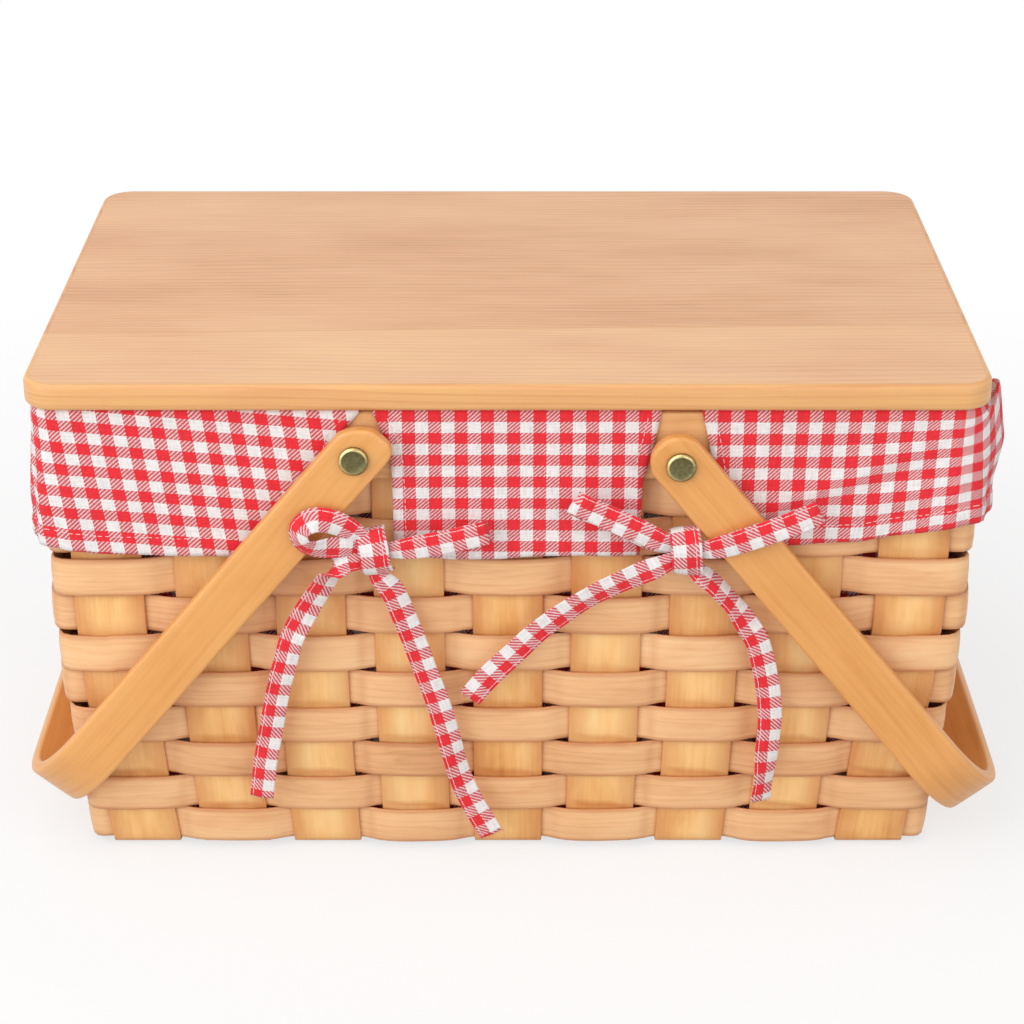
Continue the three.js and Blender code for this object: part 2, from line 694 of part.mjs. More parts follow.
// Angle from straight down at which a lowered handle rests: its cross part's lower edge is against the bulge
// of the end wall, or on the right a little short of it
function restLean(side) {
  const inner = HANDLE_REACH - HANDLE_THICKNESS / 2;
  const half = HANDLE_WIDTH / 2;
  let lean = Math.PI / 4;
  for (let round = 0; round < 30; round += 1) { // each round comes closer to the wall as it bulges there
    const z = rivetZ(side) - inner * Math.cos(lean) - half * Math.sin(lean);
    const wall = halfLength(z) + endBow(0, z) + WEAVER_OUT + REST_GAP;
    lean = Math.asin((wall - side * rivetX(side)) / Math.hypot(inner, half)) + Math.atan(half / inner);
  }
  return side > 0 ? lean + THREE.MathUtils.degToRad(RIGHT_HELD_OFF) : lean;
}

// How far to the right a lowered arm's inner edge is at height z
function armEdge(side, z) {
  const lean = restLean(side);
  return rivetX(side) + side * ((rivetZ(side) - z) * Math.tan(lean) - HANDLE_WIDTH / 2 / Math.cos(lean));
}

for (const [name, side] of handleSides) {
  const holder = new THREE.Group();
  holder.position.set(rivetX(side), 0, rivetZ(side));
  // The band is built along +X: turn it down, then out to its resting lean
  holder.rotation.y = Math.PI / 2 - side * restLean(side);
  basket.add(holder);
  addPiece(`handle_${name}`, handleSolid(), HANDLE, holder);
}

// Rivets: a head outside the handle, a shank through handle, spacer and rims, and a tail rolled over inside

function rivetShape() {
  const start = HANDLE_OUT + FIT_GAP;
  const tail = BODY_DEPTH / 2 - RIM_OUT - FIT_GAP;
  const bevel = RIVET_HEAD_HEIGHT / 3;
  return turnedPiece([
    [0, tail - RIVET_TAIL_HEIGHT],
    [RIVET_TAIL_RADIUS, tail - RIVET_TAIL_HEIGHT],
    [RIVET_TAIL_RADIUS, tail],
    [RIVET_RADIUS, tail],
    [RIVET_RADIUS, start],
    [RIVET_HEAD_RADIUS, start],
    [RIVET_HEAD_RADIUS, start + RIVET_HEAD_HEIGHT - bevel],
    [RIVET_HEAD_RADIUS - 2 * bevel, start + RIVET_HEAD_HEIGHT],
    [0, start + RIVET_HEAD_HEIGHT],
  ], ROUND_SIDES);
}

function spacerShape() {
  const low = RIM_FACE + FIT_GAP;
  const high = HANDLE_IN - FIT_GAP;
  const bored = RIVET_RADIUS + FIT_GAP;
  const profile = [[bored, low], [SPACER_RADIUS, low], [SPACER_RADIUS, high], [bored, high], [bored, low]];
  return turnedPiece(profile, ROUND_SIDES);
}

// turnedPiece runs up +Z, so these tip it over towards the front or the rear
function tipped(geometry, face) {
  return geometry.rotateX(face < 0 ? Math.PI / 2 : -Math.PI / 2);
}

for (const [end, side] of handleSides) {
  for (const [face, y] of faceSides) {
    const place = [rivetX(side), 0, rivetZ(side)];
    addPiece(`rivet_${face}_${end}`, tipped(rivetShape(), y).translate(...place), BRASS);
    addPiece(`spacer_${face}_${end}`, tipped(spacerShape(), y).translate(...place), BRASS);
  }
}

// Bows: each is tied from two flat ties that are sewn to the skirt beside the slit. A tie is its half of the
// knot with one loop and one tail. A loop has its length as a share of LOOP_LENGTH and its slope upwards in
// degrees. A tail's places are across and up from the knot, as shares of TAIL_DROP.

const KNOT_FACE = BODY_DEPTH / 2 + SKIRT_IN + CLOTH_THICKNESS + FIT_GAP;
const KNOT_Y = -(KNOT_FACE + FRONT_FOLD + KNOT_DEPTH / 2);
const KNOT_Z = SKIRT_BOTTOM + KNOT_RISE;
// How far out from the knot a loop's inner layer lies, where it crosses an arm and where it lies on the skirt
const OVER_ARM = HANDLE_OUT + TIE_THICKNESS / 2 + 2 * FIT_GAP + KNOT_Y;
const ON_SKIRT = FIT_GAP;

const bows = [
  {
    name: 'left',
    knotX: armEdge(-1, KNOT_Z) + LEFT_KNOT_GAP,
    ties: [
      {
        side: -1,
        loop: { length: 0.741, slope: 17.2, out: OVER_ARM },
        tail: [[-0.018, -0.021], [-0.132, -0.079], [-0.229, -0.229], [-0.318, -0.464], [-0.379, -0.707],
          [-0.375, -0.871]],
      },
      {
        side: 1,
        loop: { length: 1, slope: 11.4, out: ON_SKIRT },
        tail: [[0.018, -0.021], [0.05, -0.086], [0.118, -0.3], [0.207, -0.579], [0.282, -0.836],
          [0.35, -1.014]],
      },
    ],
  },
  {
    name: 'right',
    knotX: armEdge(1, KNOT_Z) - RIGHT_KNOT_GAP,
    ties: [
      {
        side: -1,
        loop: { length: 1.016, slope: 25.5, out: ON_SKIRT },
        tail: [[-0.018, -0.018], [-0.079, -0.061], [-0.25, -0.168], [-0.429, -0.307], [-0.55, -0.429],
          [-0.643, -0.529]],
      },
      {
        side: 1,
        loop: { length: 1.127, slope: 19.4, out: OVER_ARM },
        tail: [[0.018, -0.021], [0.064, -0.075], [0.157, -0.193], [0.243, -0.375], [0.289, -0.543],
          [0.286, -0.743], [0.268, -0.9]],
      },
    ],
  },
];

// A loop's stations: how far along it, and how deep as a share of LOOP_DEPTH past the loop's way out
const loopStations = [
  [0.14, 0],
  [0.55, 0.04],
  [0.88, 0.04],
  [0.97, 0.15],
  [1, 0.5],
  [0.97, 0.85],
  [0.88, 1],
  [0.55, 1.13],
  [0.28, 0.8],
  [0.14, 0.62],
];

function loopStrip(knot, side, { length, slope, out }) {
  const angle = THREE.MathUtils.degToRad(slope);
  const direction = new THREE.Vector3(side * Math.cos(angle), 0, Math.sin(angle));
  const width = new THREE.Vector3(-direction.z, 0, direction.x);
  const place = (share, depth) => knot.clone()
    .addScaledVector(direction, share * length * LOOP_LENGTH)
    .add(new THREE.Vector3(0, -depth, 0));
  const points = [
    place(0.04, LOOP_DEPTH / 9),
    ...loopStations.map(([share, depth]) => place(share, out + depth * LOOP_DEPTH)),
    place(0.05, LOOP_DEPTH * (2 / 3)),
  ];
  return sweptStrip(points, points.map(() => width), TIE_WIDTH, TIE_THICKNESS, false);
}

function tailStrip(knot, tail) {
  const route = new THREE.CatmullRomCurve3(tail.map(([across, up], i) => {
    const back = i === 0 ? 0 : KNOT_SET_BACK;
    return knot.clone().add(new THREE.Vector3(across * TAIL_DROP, back, up * TAIL_DROP));
  }));
  const points = route.getPoints(TAIL_STEPS);
  const front = new THREE.Vector3(0, -1, 0);
  const widths = points.map((_, i) => (
    new THREE.Vector3().crossVectors(route.getTangent(i / TAIL_STEPS), front)
  ));
  return sweptStrip(points, widths, TIE_WIDTH, TIE_THICKNESS, false);
}

function knotSolid(knot) {
  const ball = new THREE.SphereGeometry(1, KNOT_SIDES, KNOT_SIDES - 2);
  ball.scale(KNOT_WIDTH / 2, KNOT_DEPTH / 2, KNOT_HEIGHT / 2);
  ball.translate(knot.x, knot.y, knot.z);
  return toSolid(ball);
}

function tie(knot, { side, loop, tail }) {
  const whole = knotSolid(knot)
    .add(toSolid(loopStrip(knot, side, loop)))
    .add(toSolid(tailStrip(knot, tail)));
  const reach = 4 * TAIL_DROP;
  const keep = new THREE.BoxGeometry(reach, reach, reach);
  keep.translate(knot.x + side * (reach / 2 + FIT_GAP / 2), knot.y, knot.z);
  return toGeometry(whole.intersect(toSolid(keep)));
}

for (const { name, knotX, ties } of bows) {
  const knot = new THREE.Vector3(knotX, KNOT_Y, KNOT_Z);
  ties.forEach((shape, i) => {
    const tieName = ['a', 'b'][i];
    const front = tie(knot, shape);
    addPiece(`tie_front_${name}_${tieName}`, front, GINGHAM);
    addPiece(`tie_rear_${name}_${tieName}`, mirroredY(front), GINGHAM);
  });
}

export default basket;
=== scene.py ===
# A picnic basket of woven splints, with a board lid, two bent wooden handles and a gingham liner.
# Shapes are worked out in millimetres and turned to metres where a mesh is made.
import math
import random

import bmesh
import bpy
from mathutils import Matrix, Vector, noise


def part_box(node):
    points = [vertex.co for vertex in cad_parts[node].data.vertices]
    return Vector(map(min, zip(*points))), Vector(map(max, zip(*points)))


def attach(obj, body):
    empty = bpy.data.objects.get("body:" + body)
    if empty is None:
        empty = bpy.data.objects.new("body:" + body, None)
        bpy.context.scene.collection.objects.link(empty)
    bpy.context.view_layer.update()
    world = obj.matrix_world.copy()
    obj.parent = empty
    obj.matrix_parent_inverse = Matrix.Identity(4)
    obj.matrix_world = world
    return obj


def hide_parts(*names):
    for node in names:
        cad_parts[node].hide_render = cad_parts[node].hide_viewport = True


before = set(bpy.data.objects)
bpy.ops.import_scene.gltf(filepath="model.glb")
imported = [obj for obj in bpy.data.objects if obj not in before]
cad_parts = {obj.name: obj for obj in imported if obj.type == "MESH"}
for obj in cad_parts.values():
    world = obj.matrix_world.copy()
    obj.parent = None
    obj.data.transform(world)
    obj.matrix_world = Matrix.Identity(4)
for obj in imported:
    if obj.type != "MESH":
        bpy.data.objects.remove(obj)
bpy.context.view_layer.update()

MM = 0.001
UP = Vector((0, 0, 1))
FACES = ("front", "rear")
ENDS = ("left", "right")


def box_mm(node):
    """The lowest and the highest corner of a CAD node, in millimetres."""
    low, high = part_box(node)
    return low / MM, high / MM


def placed(name, data):
    """An object of this name and data, in the scene."""
    made = bpy.data.objects.new(name, data)
    bpy.context.scene.collection.objects.link(made)
    return made


# Camera, lights and floor

CAMERA_PLACE = (0.0018, -1.1017, 0.6264)
CAMERA_PITCH = 25
LENS = 90.46
LAMPS_AIM = Vector((0, 0, 0.1))

camera = placed("camera", bpy.data.cameras.new("camera"))
camera.data.lens = LENS
camera.data.sensor_width = 36
camera.location = CAMERA_PLACE
camera.rotation_euler = (math.radians(90 - CAMERA_PITCH), 0, 0)
bpy.context.scene.camera = camera
bpy.context.scene.view_settings.view_transform = "Standard"


def soft_lamp(name, place, size, power):
    lamp = placed(name, bpy.data.lights.new(name, "AREA"))
    lamp.data.shape = "SQUARE"
    lamp.data.size = size
    lamp.data.energy = power
    lamp.location = place
    lamp.rotation_euler = (LAMPS_AIM - Vector(place)).to_track_quat("-Z", "Y").to_euler()


soft_lamp("lamp_over", (-0.6, -0.4, 1.7), 1.4, 6)
soft_lamp("lamp_left", (-1.3, -1.4, 1.0), 2.0, 25)
soft_lamp("lamp_right", (1.4, -1.5, 0.8), 2.0, 14)


# Colours, and the one way in which a node is added

def srgb(code):
    """Linear RGBA from an sRGB hex colour."""
    parts = [int(code[i:i + 2], 16) / 255 for i in (1, 3, 5)]
    return [c / 12.92 if c <= 0.04045 else ((c + 0.055) / 1.055) ** 2.4 for c in parts] + [1.0]


def add(tree, kind, inputs=None, **settings):
    """Adds a node. An input is a value, another node, which stands for its first output, or an output. The
    stops of a colour ramp are pairs of place and hex colour."""
    made = tree.nodes.new("ShaderNode" + kind)
    for name, value in settings.items():
        if name == "stops":
            ends = made.color_ramp.elements
            for stop, (place, colour) in zip((ends[0], ends[1]), (value[0], value[-1])):
                stop.position, stop.color = place, srgb(colour)
            for place, colour in value[1:-1]:
                ends.new(place).color = srgb(colour)
        else:
            setattr(made, name, value)
    for name, value in (inputs or {}).items():
        source = value.outputs[0] if isinstance(value, bpy.types.Node) else value
        if isinstance(source, bpy.types.NodeSocket):
            tree.links.new(source, made.inputs[name])
        else:
            made.inputs[name].default_value = source
    return made


def empty_material(name):
    material = bpy.data.materials.new(name)
    material.use_nodes = True
    material.node_tree.nodes.clear()
    return material, material.node_tree


# Floor and world: both white to the camera, and the floor keeps the basket's shadow

SHADOW_NEAR = 0.2  # metres from the middle of the floor up to which the shadow shows in full
SHADOW_FAR = 0.75
FLOOR_HALF = 12


def seen_itself(tree):
    """1 where a surface is looked at, straight or in something shiny, and 0 where it only lights others."""
    path = add(tree, "LightPath")
    rays = {0: path.outputs["Is Camera Ray"], 1: path.outputs["Is Glossy Ray"]}
    return add(tree, "Math", rays, operation="MAXIMUM")


def white_floor():
    """White paper. Looked at, it is fully bright away from the basket, and near it leaves room for the soft
    shadow. It throws less light on the basket than it shows, so that the shade under the lid stays dark."""
    material, tree = empty_material("white_paper")
    place = add(tree, "TexCoord").outputs["Object"]
    away = add(tree, "VectorMath", {0: place}, operation="LENGTH")
    glow = add(tree, "MapRange", {
        0: away.outputs["Value"], 1: SHADOW_NEAR, 2: SHADOW_FAR, 3: 0.7, 4: 1.0},
        interpolation_type="SMOOTHSTEP")
    matt = add(tree, "BsdfDiffuse", {"Color": srgb("#F4F4F4")})
    bright = add(tree, "Emission", {"Color": srgb("#FFFFFF"), "Strength": 1.0})
    shown = add(tree, "MixShader", {0: glow, 1: matt, 2: bright})
    thrown = add(tree, "BsdfDiffuse", {"Color": srgb("#BDBBB8")})
    mixed = add(tree, "MixShader", {0: seen_itself(tree), 1: thrown, 2: shown})
    add(tree, "OutputMaterial", {"Surface": mixed})
    mesh = bpy.data.meshes.new("floor")
    corners = [(FLOOR_HALF * x, FLOOR_HALF * y, 0) for x, y in ((-1, -1), (1, -1), (1, 1), (-1, 1))]
    mesh.from_pydata(corners, [], [(0, 1, 2, 3)])
    mesh.materials.append(material)
    floor = placed("floor", mesh)


def studio_world():
    world = bpy.data.worlds.new("studio")
    world.use_nodes = True
    tree = world.node_tree
    tree.nodes.clear()
    light = add(tree, "Background", {"Color": srgb("#FFFFFF"), "Strength": 0.55})
    white = add(tree, "Background", {"Color": srgb("#FFFFFF"), "Strength": 1.0})
    mixed = add(tree, "MixShader", {0: seen_itself(tree), 1: light, 2: white})
    add(tree, "OutputWorld", {"Surface": mixed})
    bpy.context.scene.world = world


white_floor()
studio_world()


# Woods. Each is coloured by its place in the grain: along the fibres, across them, and a depth that the
# piece's tone gives, so that no two splints are cut from the same spot.

def grain_places(tree):
    """The place in the grain in metres, the distance across, the piece's tone, and its staining and painted
    shade.
    """
    place = add(tree, "UVMap", uv_map="Grain")
    parts = add(tree, "SeparateXYZ", {0: place})
    tone = add(tree, "Attribute", attribute_name="tone")
    stain = add(tree, "Attribute", attribute_name="stain")
    grain = add(tree, "CombineXYZ", {0: parts.outputs[0], 1: parts.outputs[1], 2: tone.outputs["Fac"]})
    return grain, parts.outputs[1], tone.outputs["Fac"], stain.outputs["Fac"]


GLUE_LINE = -64  # the joint of the lid's two boards, from front to back, at its middle
GLUE_SLANT = 0.0287


def lid_places(tree):
    """The same for the lid. It is glued up from two boards, and the front one is paler."""
    grain, across, _, stain = grain_places(tree)
    spot = add(tree, "SeparateXYZ", {0: add(tree, "TexCoord").outputs["Object"]})
    slant = add(tree, "Math", {
        0: spot.outputs[0], 1: -GLUE_SLANT, 2: spot.outputs[1]}, operation="MULTIPLY_ADD")
    behind = add(tree, "MapRange", {
        0: slant, 1: (GLUE_LINE - 0.2) * MM, 2: (GLUE_LINE + 0.2) * MM, 3: 0.0, 4: 1.0})
    parts = add(tree, "SeparateXYZ", {0: grain})
    depth = add(tree, "Math", {0: behind, 1: 0.55, 2: 0.0}, operation="MULTIPLY_ADD")
    own = add(tree, "CombineXYZ", {0: parts.outputs[0], 1: parts.outputs[1], 2: depth})
    glue = add(tree, "Math", {0: slant, 1: GLUE_LINE * MM, 2: 0.4 * MM}, operation="COMPARE")
    stained = add(tree, "Math", {0: stain, 1: glue}, operation="MAXIMUM")
    return own, across, depth, stained


PORE = (9, 0.5)  # length and width
FIGURE_SLIMNESS = 0.16  # the width of the flame figure as a share of its length


def wood(name, colours, ring, figure, streak, rings_show, streaks_show, patches_show, roughness, coat,
         patch=(40, 13), places=grain_places):
    """Wood with growth rings about ring mm apart on the face, cathedral figure this many mm long, and fine
    streaks and soft patches, each given as length and width in mm. The colours run from the pale early wood
    to the dark late wood, and the fifth is multiplied over them by the stain attribute: real
    staining, and painted shade at the dips and edges of the splints and beside the weavers."""
    material, tree = empty_material(name)
    grain, across, tone, stain = places(tree)
    # Noises drawn out along the fibres, each with its length and width, its spread in depth, its detail and
    # its roughness: for the figure, the fine streaks, the short dark pores and the soft patches
    flame = (figure, figure * FIGURE_SLIMNESS)
    kinds = [(flame, 9, 2, 0.45), (streak, 40, 4, 0.6), (PORE, 300, 2, 0.7), (patch, 6, 3, 0.55)]
    noises = []
    for (long, wide), depth, detail, coarse in kinds:
        scale = (1 / (long * MM), 1 / (wide * MM), depth)
        drawn = add(tree, "VectorMath", {0: grain, 1: scale}, operation="MULTIPLY")
        noises.append(add(tree, "TexNoise", {
            "Vector": drawn, "Scale": 1, "Detail": detail, "Roughness": coarse}))
    push, streaks, pores, patches = noises
    # The rings: places across the grain, pushed about by the slow noise, make long flame shapes
    count = add(tree, "Math", {0: across, 1: 1 / (ring * MM)}, operation="MULTIPLY")
    turns = add(tree, "Math", {0: push, 1: 7.5, 2: count}, operation="MULTIPLY_ADD")
    cycle = add(tree, "Math", {0: turns}, operation="FRACT")
    late = add(tree, "ValToRGB", {0: cycle}, stops=[
        (0.0, "#000000"), (0.55, "#3A3A3A"), (0.86, "#FFFFFF"), (1.0, "#000000")])
    # How dark the wood is at each place
    pored = add(tree, "MapRange", {0: pores, 1: 0.58, 2: 0.78, 3: 0.0, 4: 1.0})
    dark = add(tree, "Math", {
        0: late, 1: 0.32 * rings_show, 2: 0.3 - 0.5 * streaks_show - 0.5 * patches_show},
        operation="MULTIPLY_ADD")
    weights = [(streaks, streaks_show), (pored, 0.3 * streaks_show), (patches, patches_show), (tone, 0.3)]
    for source, weight in weights:
        dark = add(tree, "Math", {0: source, 1: weight, 2: dark}, operation="MULTIPLY_ADD")
    colour = add(tree, "ValToRGB", {0: dark}, stops=list(zip((0.1, 0.42, 0.68, 1.0), colours)))
    # The fifth colour, multiplied in by stain: real staining, and painted shade at the splints' dips and
    # edges and beside the weavers
    finish = add(tree, "Mix", {
        "Factor": stain, "A": colour, "B": srgb(colours[4])}, data_type="RGBA", blend_type="MULTIPLY")
    relief = add(tree, "Math", {0: late, 1: -0.3 * rings_show, 2: streaks}, operation="MULTIPLY_ADD")
    bump = add(tree, "Bump", {"Height": relief, "Distance": 0.00025, "Strength": 0.5})
    rough = add(tree, "MapRange", {0: streaks, 1: 0.3, 2: 0.75, 3: roughness - 0.07, 4: roughness + 0.1})
    shader = add(tree, "BsdfPrincipled", {
        "Base Color": finish.outputs["Result"], "Roughness": rough, "IOR": 1.5, "Coat Weight": coat,
        "Coat Roughness": 0.35, "Normal": bump})
    add(tree, "OutputMaterial", {"Surface": shader})
    return material


# Poplar splint, sliced across the rings and varnished thin: peachy tan, with soft flame figure
weaver_splint = wood(
    "weaver_splint", ["#FCD39F", "#F4C08B", "#E6AC78", "#C58C5A", "#C08350"],
    ring=4.2, figure=95, streak=(90, 1.3), rings_show=0.34, streaks_show=0.4, patches_show=0.7,
    roughness=0.5, coat=0.12)
# The same wood sawn along the rings: yellower, with straight close grain and smudges of varnish
stake_splint = wood(
    "stake_splint", ["#FFD998", "#FDC984", "#F0B269", "#CE8A44", "#C27C3C"],
    ring=3.4, figure=220, streak=(70, 1.2), rings_show=0.14, streaks_show=0.26, patches_show=1.15,
    roughness=0.5, coat=0.15)
# Poplar strip, a little browner for its thicker coat of varnish
rim_wood = wood(
    "rim_wood", ["#F6C68F", "#EDB67C", "#DFA367", "#BD814E", "#C08350"],
    ring=5, figure=200, streak=(90, 1.2), rings_show=0.5, streaks_show=0.5, patches_show=0.5,
    roughness=0.52, coat=0.1)
# Steam-bent ash, sanded and varnished honey yellow: few soft lines
bent_wood = wood(
    "bent_wood", ["#F0B66E", "#E8A55D", "#DC964C", "#BE7B3C", "#C08350"],
    ring=8, figure=330, streak=(140, 1.8), rings_show=0.3, streaks_show=0.4, patches_show=0.5,
    roughness=0.42, coat=0.25)
# Flat-sawn pine board with a satin varnish: peachy tan on its faces, with close dark streaks, and yellower
# on the planed edges
LID_COLOURS = ["#F3C18C", "#E9B181", "#DDA06E", "#BC7F50", "#F8F0D6"]
board_face = wood(
    "board", LID_COLOURS,
    ring=3.8, figure=420, streak=(60, 0.7), rings_show=0.7, streaks_show=0.6, patches_show=0.9,
    roughness=0.42, coat=0.2, patch=(120, 42), places=lid_places)
batten_wood = wood(
    "batten", LID_COLOURS,
    ring=5.5, figure=300, streak=(50, 0.9), rings_show=0.4, streaks_show=0.7, patches_show=0.5,
    roughness=0.48, coat=0.1)


# Gingham: plain-woven cotton with bands of red and of white threads, both ways. Where red crosses white, the
# real threads, 0.35 mm apart, make a twill-like mix of dots. It is drawn as slanting lines about 1.3 mm
# apart, as coarse as it has to be to show.

CHECK = 10.85  # from one red band to the next
HATCH = 1.85  # from one slanting line to the next, along a thread
THREAD = (7, 0.6)  # length and width of the thick and thin places in the threads
STITCH_PITCH = 3.0


def gingham_cloth(name, seams=()):
    """seams are places across the cloth, in mm, where a row of white stitches runs."""
    material, tree = empty_material(name)
    place = add(tree, "UVMap", uv_map="Grain")
    fuzz = add(tree, "TexNoise", {"Vector": place, "Scale": 1300, "Detail": 1})
    shift = add(tree, "VectorMath", {
        0: fuzz.outputs["Color"], 1: (0.00045, 0.00045, 0), 2: place}, operation="MULTIPLY_ADD")
    parts = add(tree, "SeparateXYZ", {0: shift})
    along, across = parts.outputs[0], parts.outputs[1]

    def bands(source, width, share=0.5):
        turns = add(tree, "Math", {0: source, 1: 1 / (width * MM)}, operation="MULTIPLY")
        cycle = add(tree, "Math", {0: turns}, operation="FRACT")
        return add(tree, "Math", {0: cycle, 1: share}, operation="LESS_THAN")

    warp, weft = bands(along, CHECK), bands(across, CHECK)
    both = add(tree, "Math", {0: warp, 1: weft}, operation="MULTIPLY")
    unlike = add(tree, "Math", {0: warp, 1: weft}, operation="SUBTRACT")
    mixed = add(tree, "Math", {0: unlike}, operation="ABSOLUTE")
    slant = add(tree, "Math", {0: along, 1: across}, operation="ADD")
    hatched = bands(slant, HATCH, 0.6)
    plain = add(tree, "Mix", {"Factor": both, "A": srgb("#F4EFEE"), "B": srgb("#EF323C")}, data_type="RGBA")
    crossed = add(tree, "Mix", {
        "Factor": hatched, "A": srgb("#ECD0CF"), "B": srgb("#DB5963")}, data_type="RGBA")
    colour = add(tree, "Mix", {
        "Factor": mixed, "A": plain.outputs["Result"], "B": crossed.outputs["Result"]}, data_type="RGBA")
    # Threads of uneven thickness, both ways
    lines = []
    for length, width in (THREAD, THREAD[::-1]):
        spun = add(tree, "VectorMath", {
            0: place, 1: (1 / (length * MM), 1 / (width * MM), 1)}, operation="MULTIPLY")
        lines.append(add(tree, "TexNoise", {"Vector": spun, "Scale": 1, "Detail": 2}))
    thickness = add(tree, "Math", {0: lines[0], 1: lines[1]}, operation="ADD")
    mean = add(tree, "Math", {0: thickness, 1: 0.5}, operation="MULTIPLY")
    shaded = add(tree, "ValToRGB", {0: mean}, stops=[(0.35, "#DDDDDD"), (0.6, "#FFFFFF")])
    colour = add(tree, "Mix", {
        "Factor": 0.8, "A": colour.outputs["Result"], "B": shaded}, data_type="RGBA", blend_type="MULTIPLY")
    if seams:
        stitched = bands(along, STITCH_PITCH, 0.88)
        for seam in seams:
            near = add(tree, "Math", {0: across, 1: seam * MM, 2: 0.00014}, operation="COMPARE")
            share = add(tree, "Math", {0: near, 1: stitched}, operation="MULTIPLY")
            colour = add(tree, "Mix", {
                "Factor": share, "A": colour.outputs["Result"], "B": srgb("#F1D3D1")}, data_type="RGBA")
    bump = add(tree, "Bump", {"Height": thickness, "Distance": 0.0003, "Strength": 0.4})
    shader = add(tree, "BsdfPrincipled", {
        "Base Color": colour.outputs["Result"], "Roughness": 0.88, "IOR": 1.45, "Specular IOR Level": 0.25,
        "Sheen Weight": 0.15, "Sheen Roughness": 0.5, "Normal": bump})
    add(tree, "OutputMaterial", {"Surface": shader})
    return material


gingham = gingham_cloth("gingham")
gingham_tie = gingham_cloth("gingham_tie", seams=(4.1,))


def plain_thread():
    """Mercerised cotton sewing thread, white, with its twist."""
    material, tree = empty_material("sewing_thread")
    place = add(tree, "TexCoord").outputs["Object"]
    twist = add(tree, "TexNoise", {"Vector": place, "Scale": 2500, "Detail": 1})
    colour = add(tree, "ValToRGB", {0: twist}, stops=[(0.3, "#E3BFBD"), (0.7, "#F4E2DF")])
    shader = add(tree, "BsdfPrincipled", {
        "Base Color": colour, "Roughness": 0.6, "IOR": 1.53, "Sheen Weight": 0.3})
    add(tree, "OutputMaterial", {"Surface": shader})
    return material


def antiqued_brass():
    """Brass darkened olive on the flat of the head, and bright on its bevel, where tone is near 1: worn
    bright all round by rubbing, with a painted highlight on the side towards the lamps.
    """
    material, tree = empty_material("antique_brass")
    place = add(tree, "TexCoord").outputs["Object"]
    rub_and_highlight = add(tree, "Attribute", attribute_name="tone")
    spots = add(tree, "TexNoise", {"Vector": place, "Scale": 650, "Detail": 5, "Roughness": 0.6})
    dark = add(tree, "ValToRGB", {0: spots}, stops=[(0.3, "#5B5638"), (0.7, "#7A7350")])
    bright = add(tree, "ValToRGB", {0: spots}, stops=[(0.3, "#D2B56A"), (0.7, "#F0DDA4")])
    # tone near 1 is the worn bevel, and on the rivets also the painted highlight towards the lamps
    colour = add(tree, "Mix", {"Factor": rub_and_highlight.outputs["Fac"], "A": dark, "B": bright}, data_type="RGBA")
    rough = add(tree, "MapRange", {0: rub_and_highlight.outputs["Fac"], 1: 0.0, 2: 1.0, 3: 0.45, 4: 0.24})
    bump = add(tree, "Bump", {"Height": spots, "Distance": 0.00005, "Strength": 0.2})
    shader = add(tree, "BsdfPrincipled", {
        "Base Color": colour.outputs["Result"], "Metallic": 1.0, "Roughness": rough, "Normal": bump})
    add(tree, "OutputMaterial", {"Surface": shader})
    return material


def zinc_screw():
    """Bright zinc plate over turned steel: cloudy and a little bluish."""
    material, tree = empty_material("screw_steel")
    place = add(tree, "TexCoord").outputs["Object"]
    cloud = add(tree, "TexNoise", {"Vector": place, "Scale": 700, "Detail": 3})
    colour = add(tree, "ValToRGB", {0: cloud}, stops=[(0.3, "#9FA3A8"), (0.7, "#C9CCD0")])
    rough = add(tree, "MapRange", {0: cloud, 1: 0.3, 2: 0.7, 3: 0.25, 4: 0.42})
    shader = add(tree, "BsdfPrincipled", {"Base Color": colour, "Metallic": 1.0, "Roughness": rough})
    add(tree, "OutputMaterial", {"Surface": shader})
    return material


thread_white = plain_thread()
brass = antiqued_brass()
zinc = zinc_screw()


# Meshes. A skin collects points in millimetres, faces, and each face corner's place in the grain.

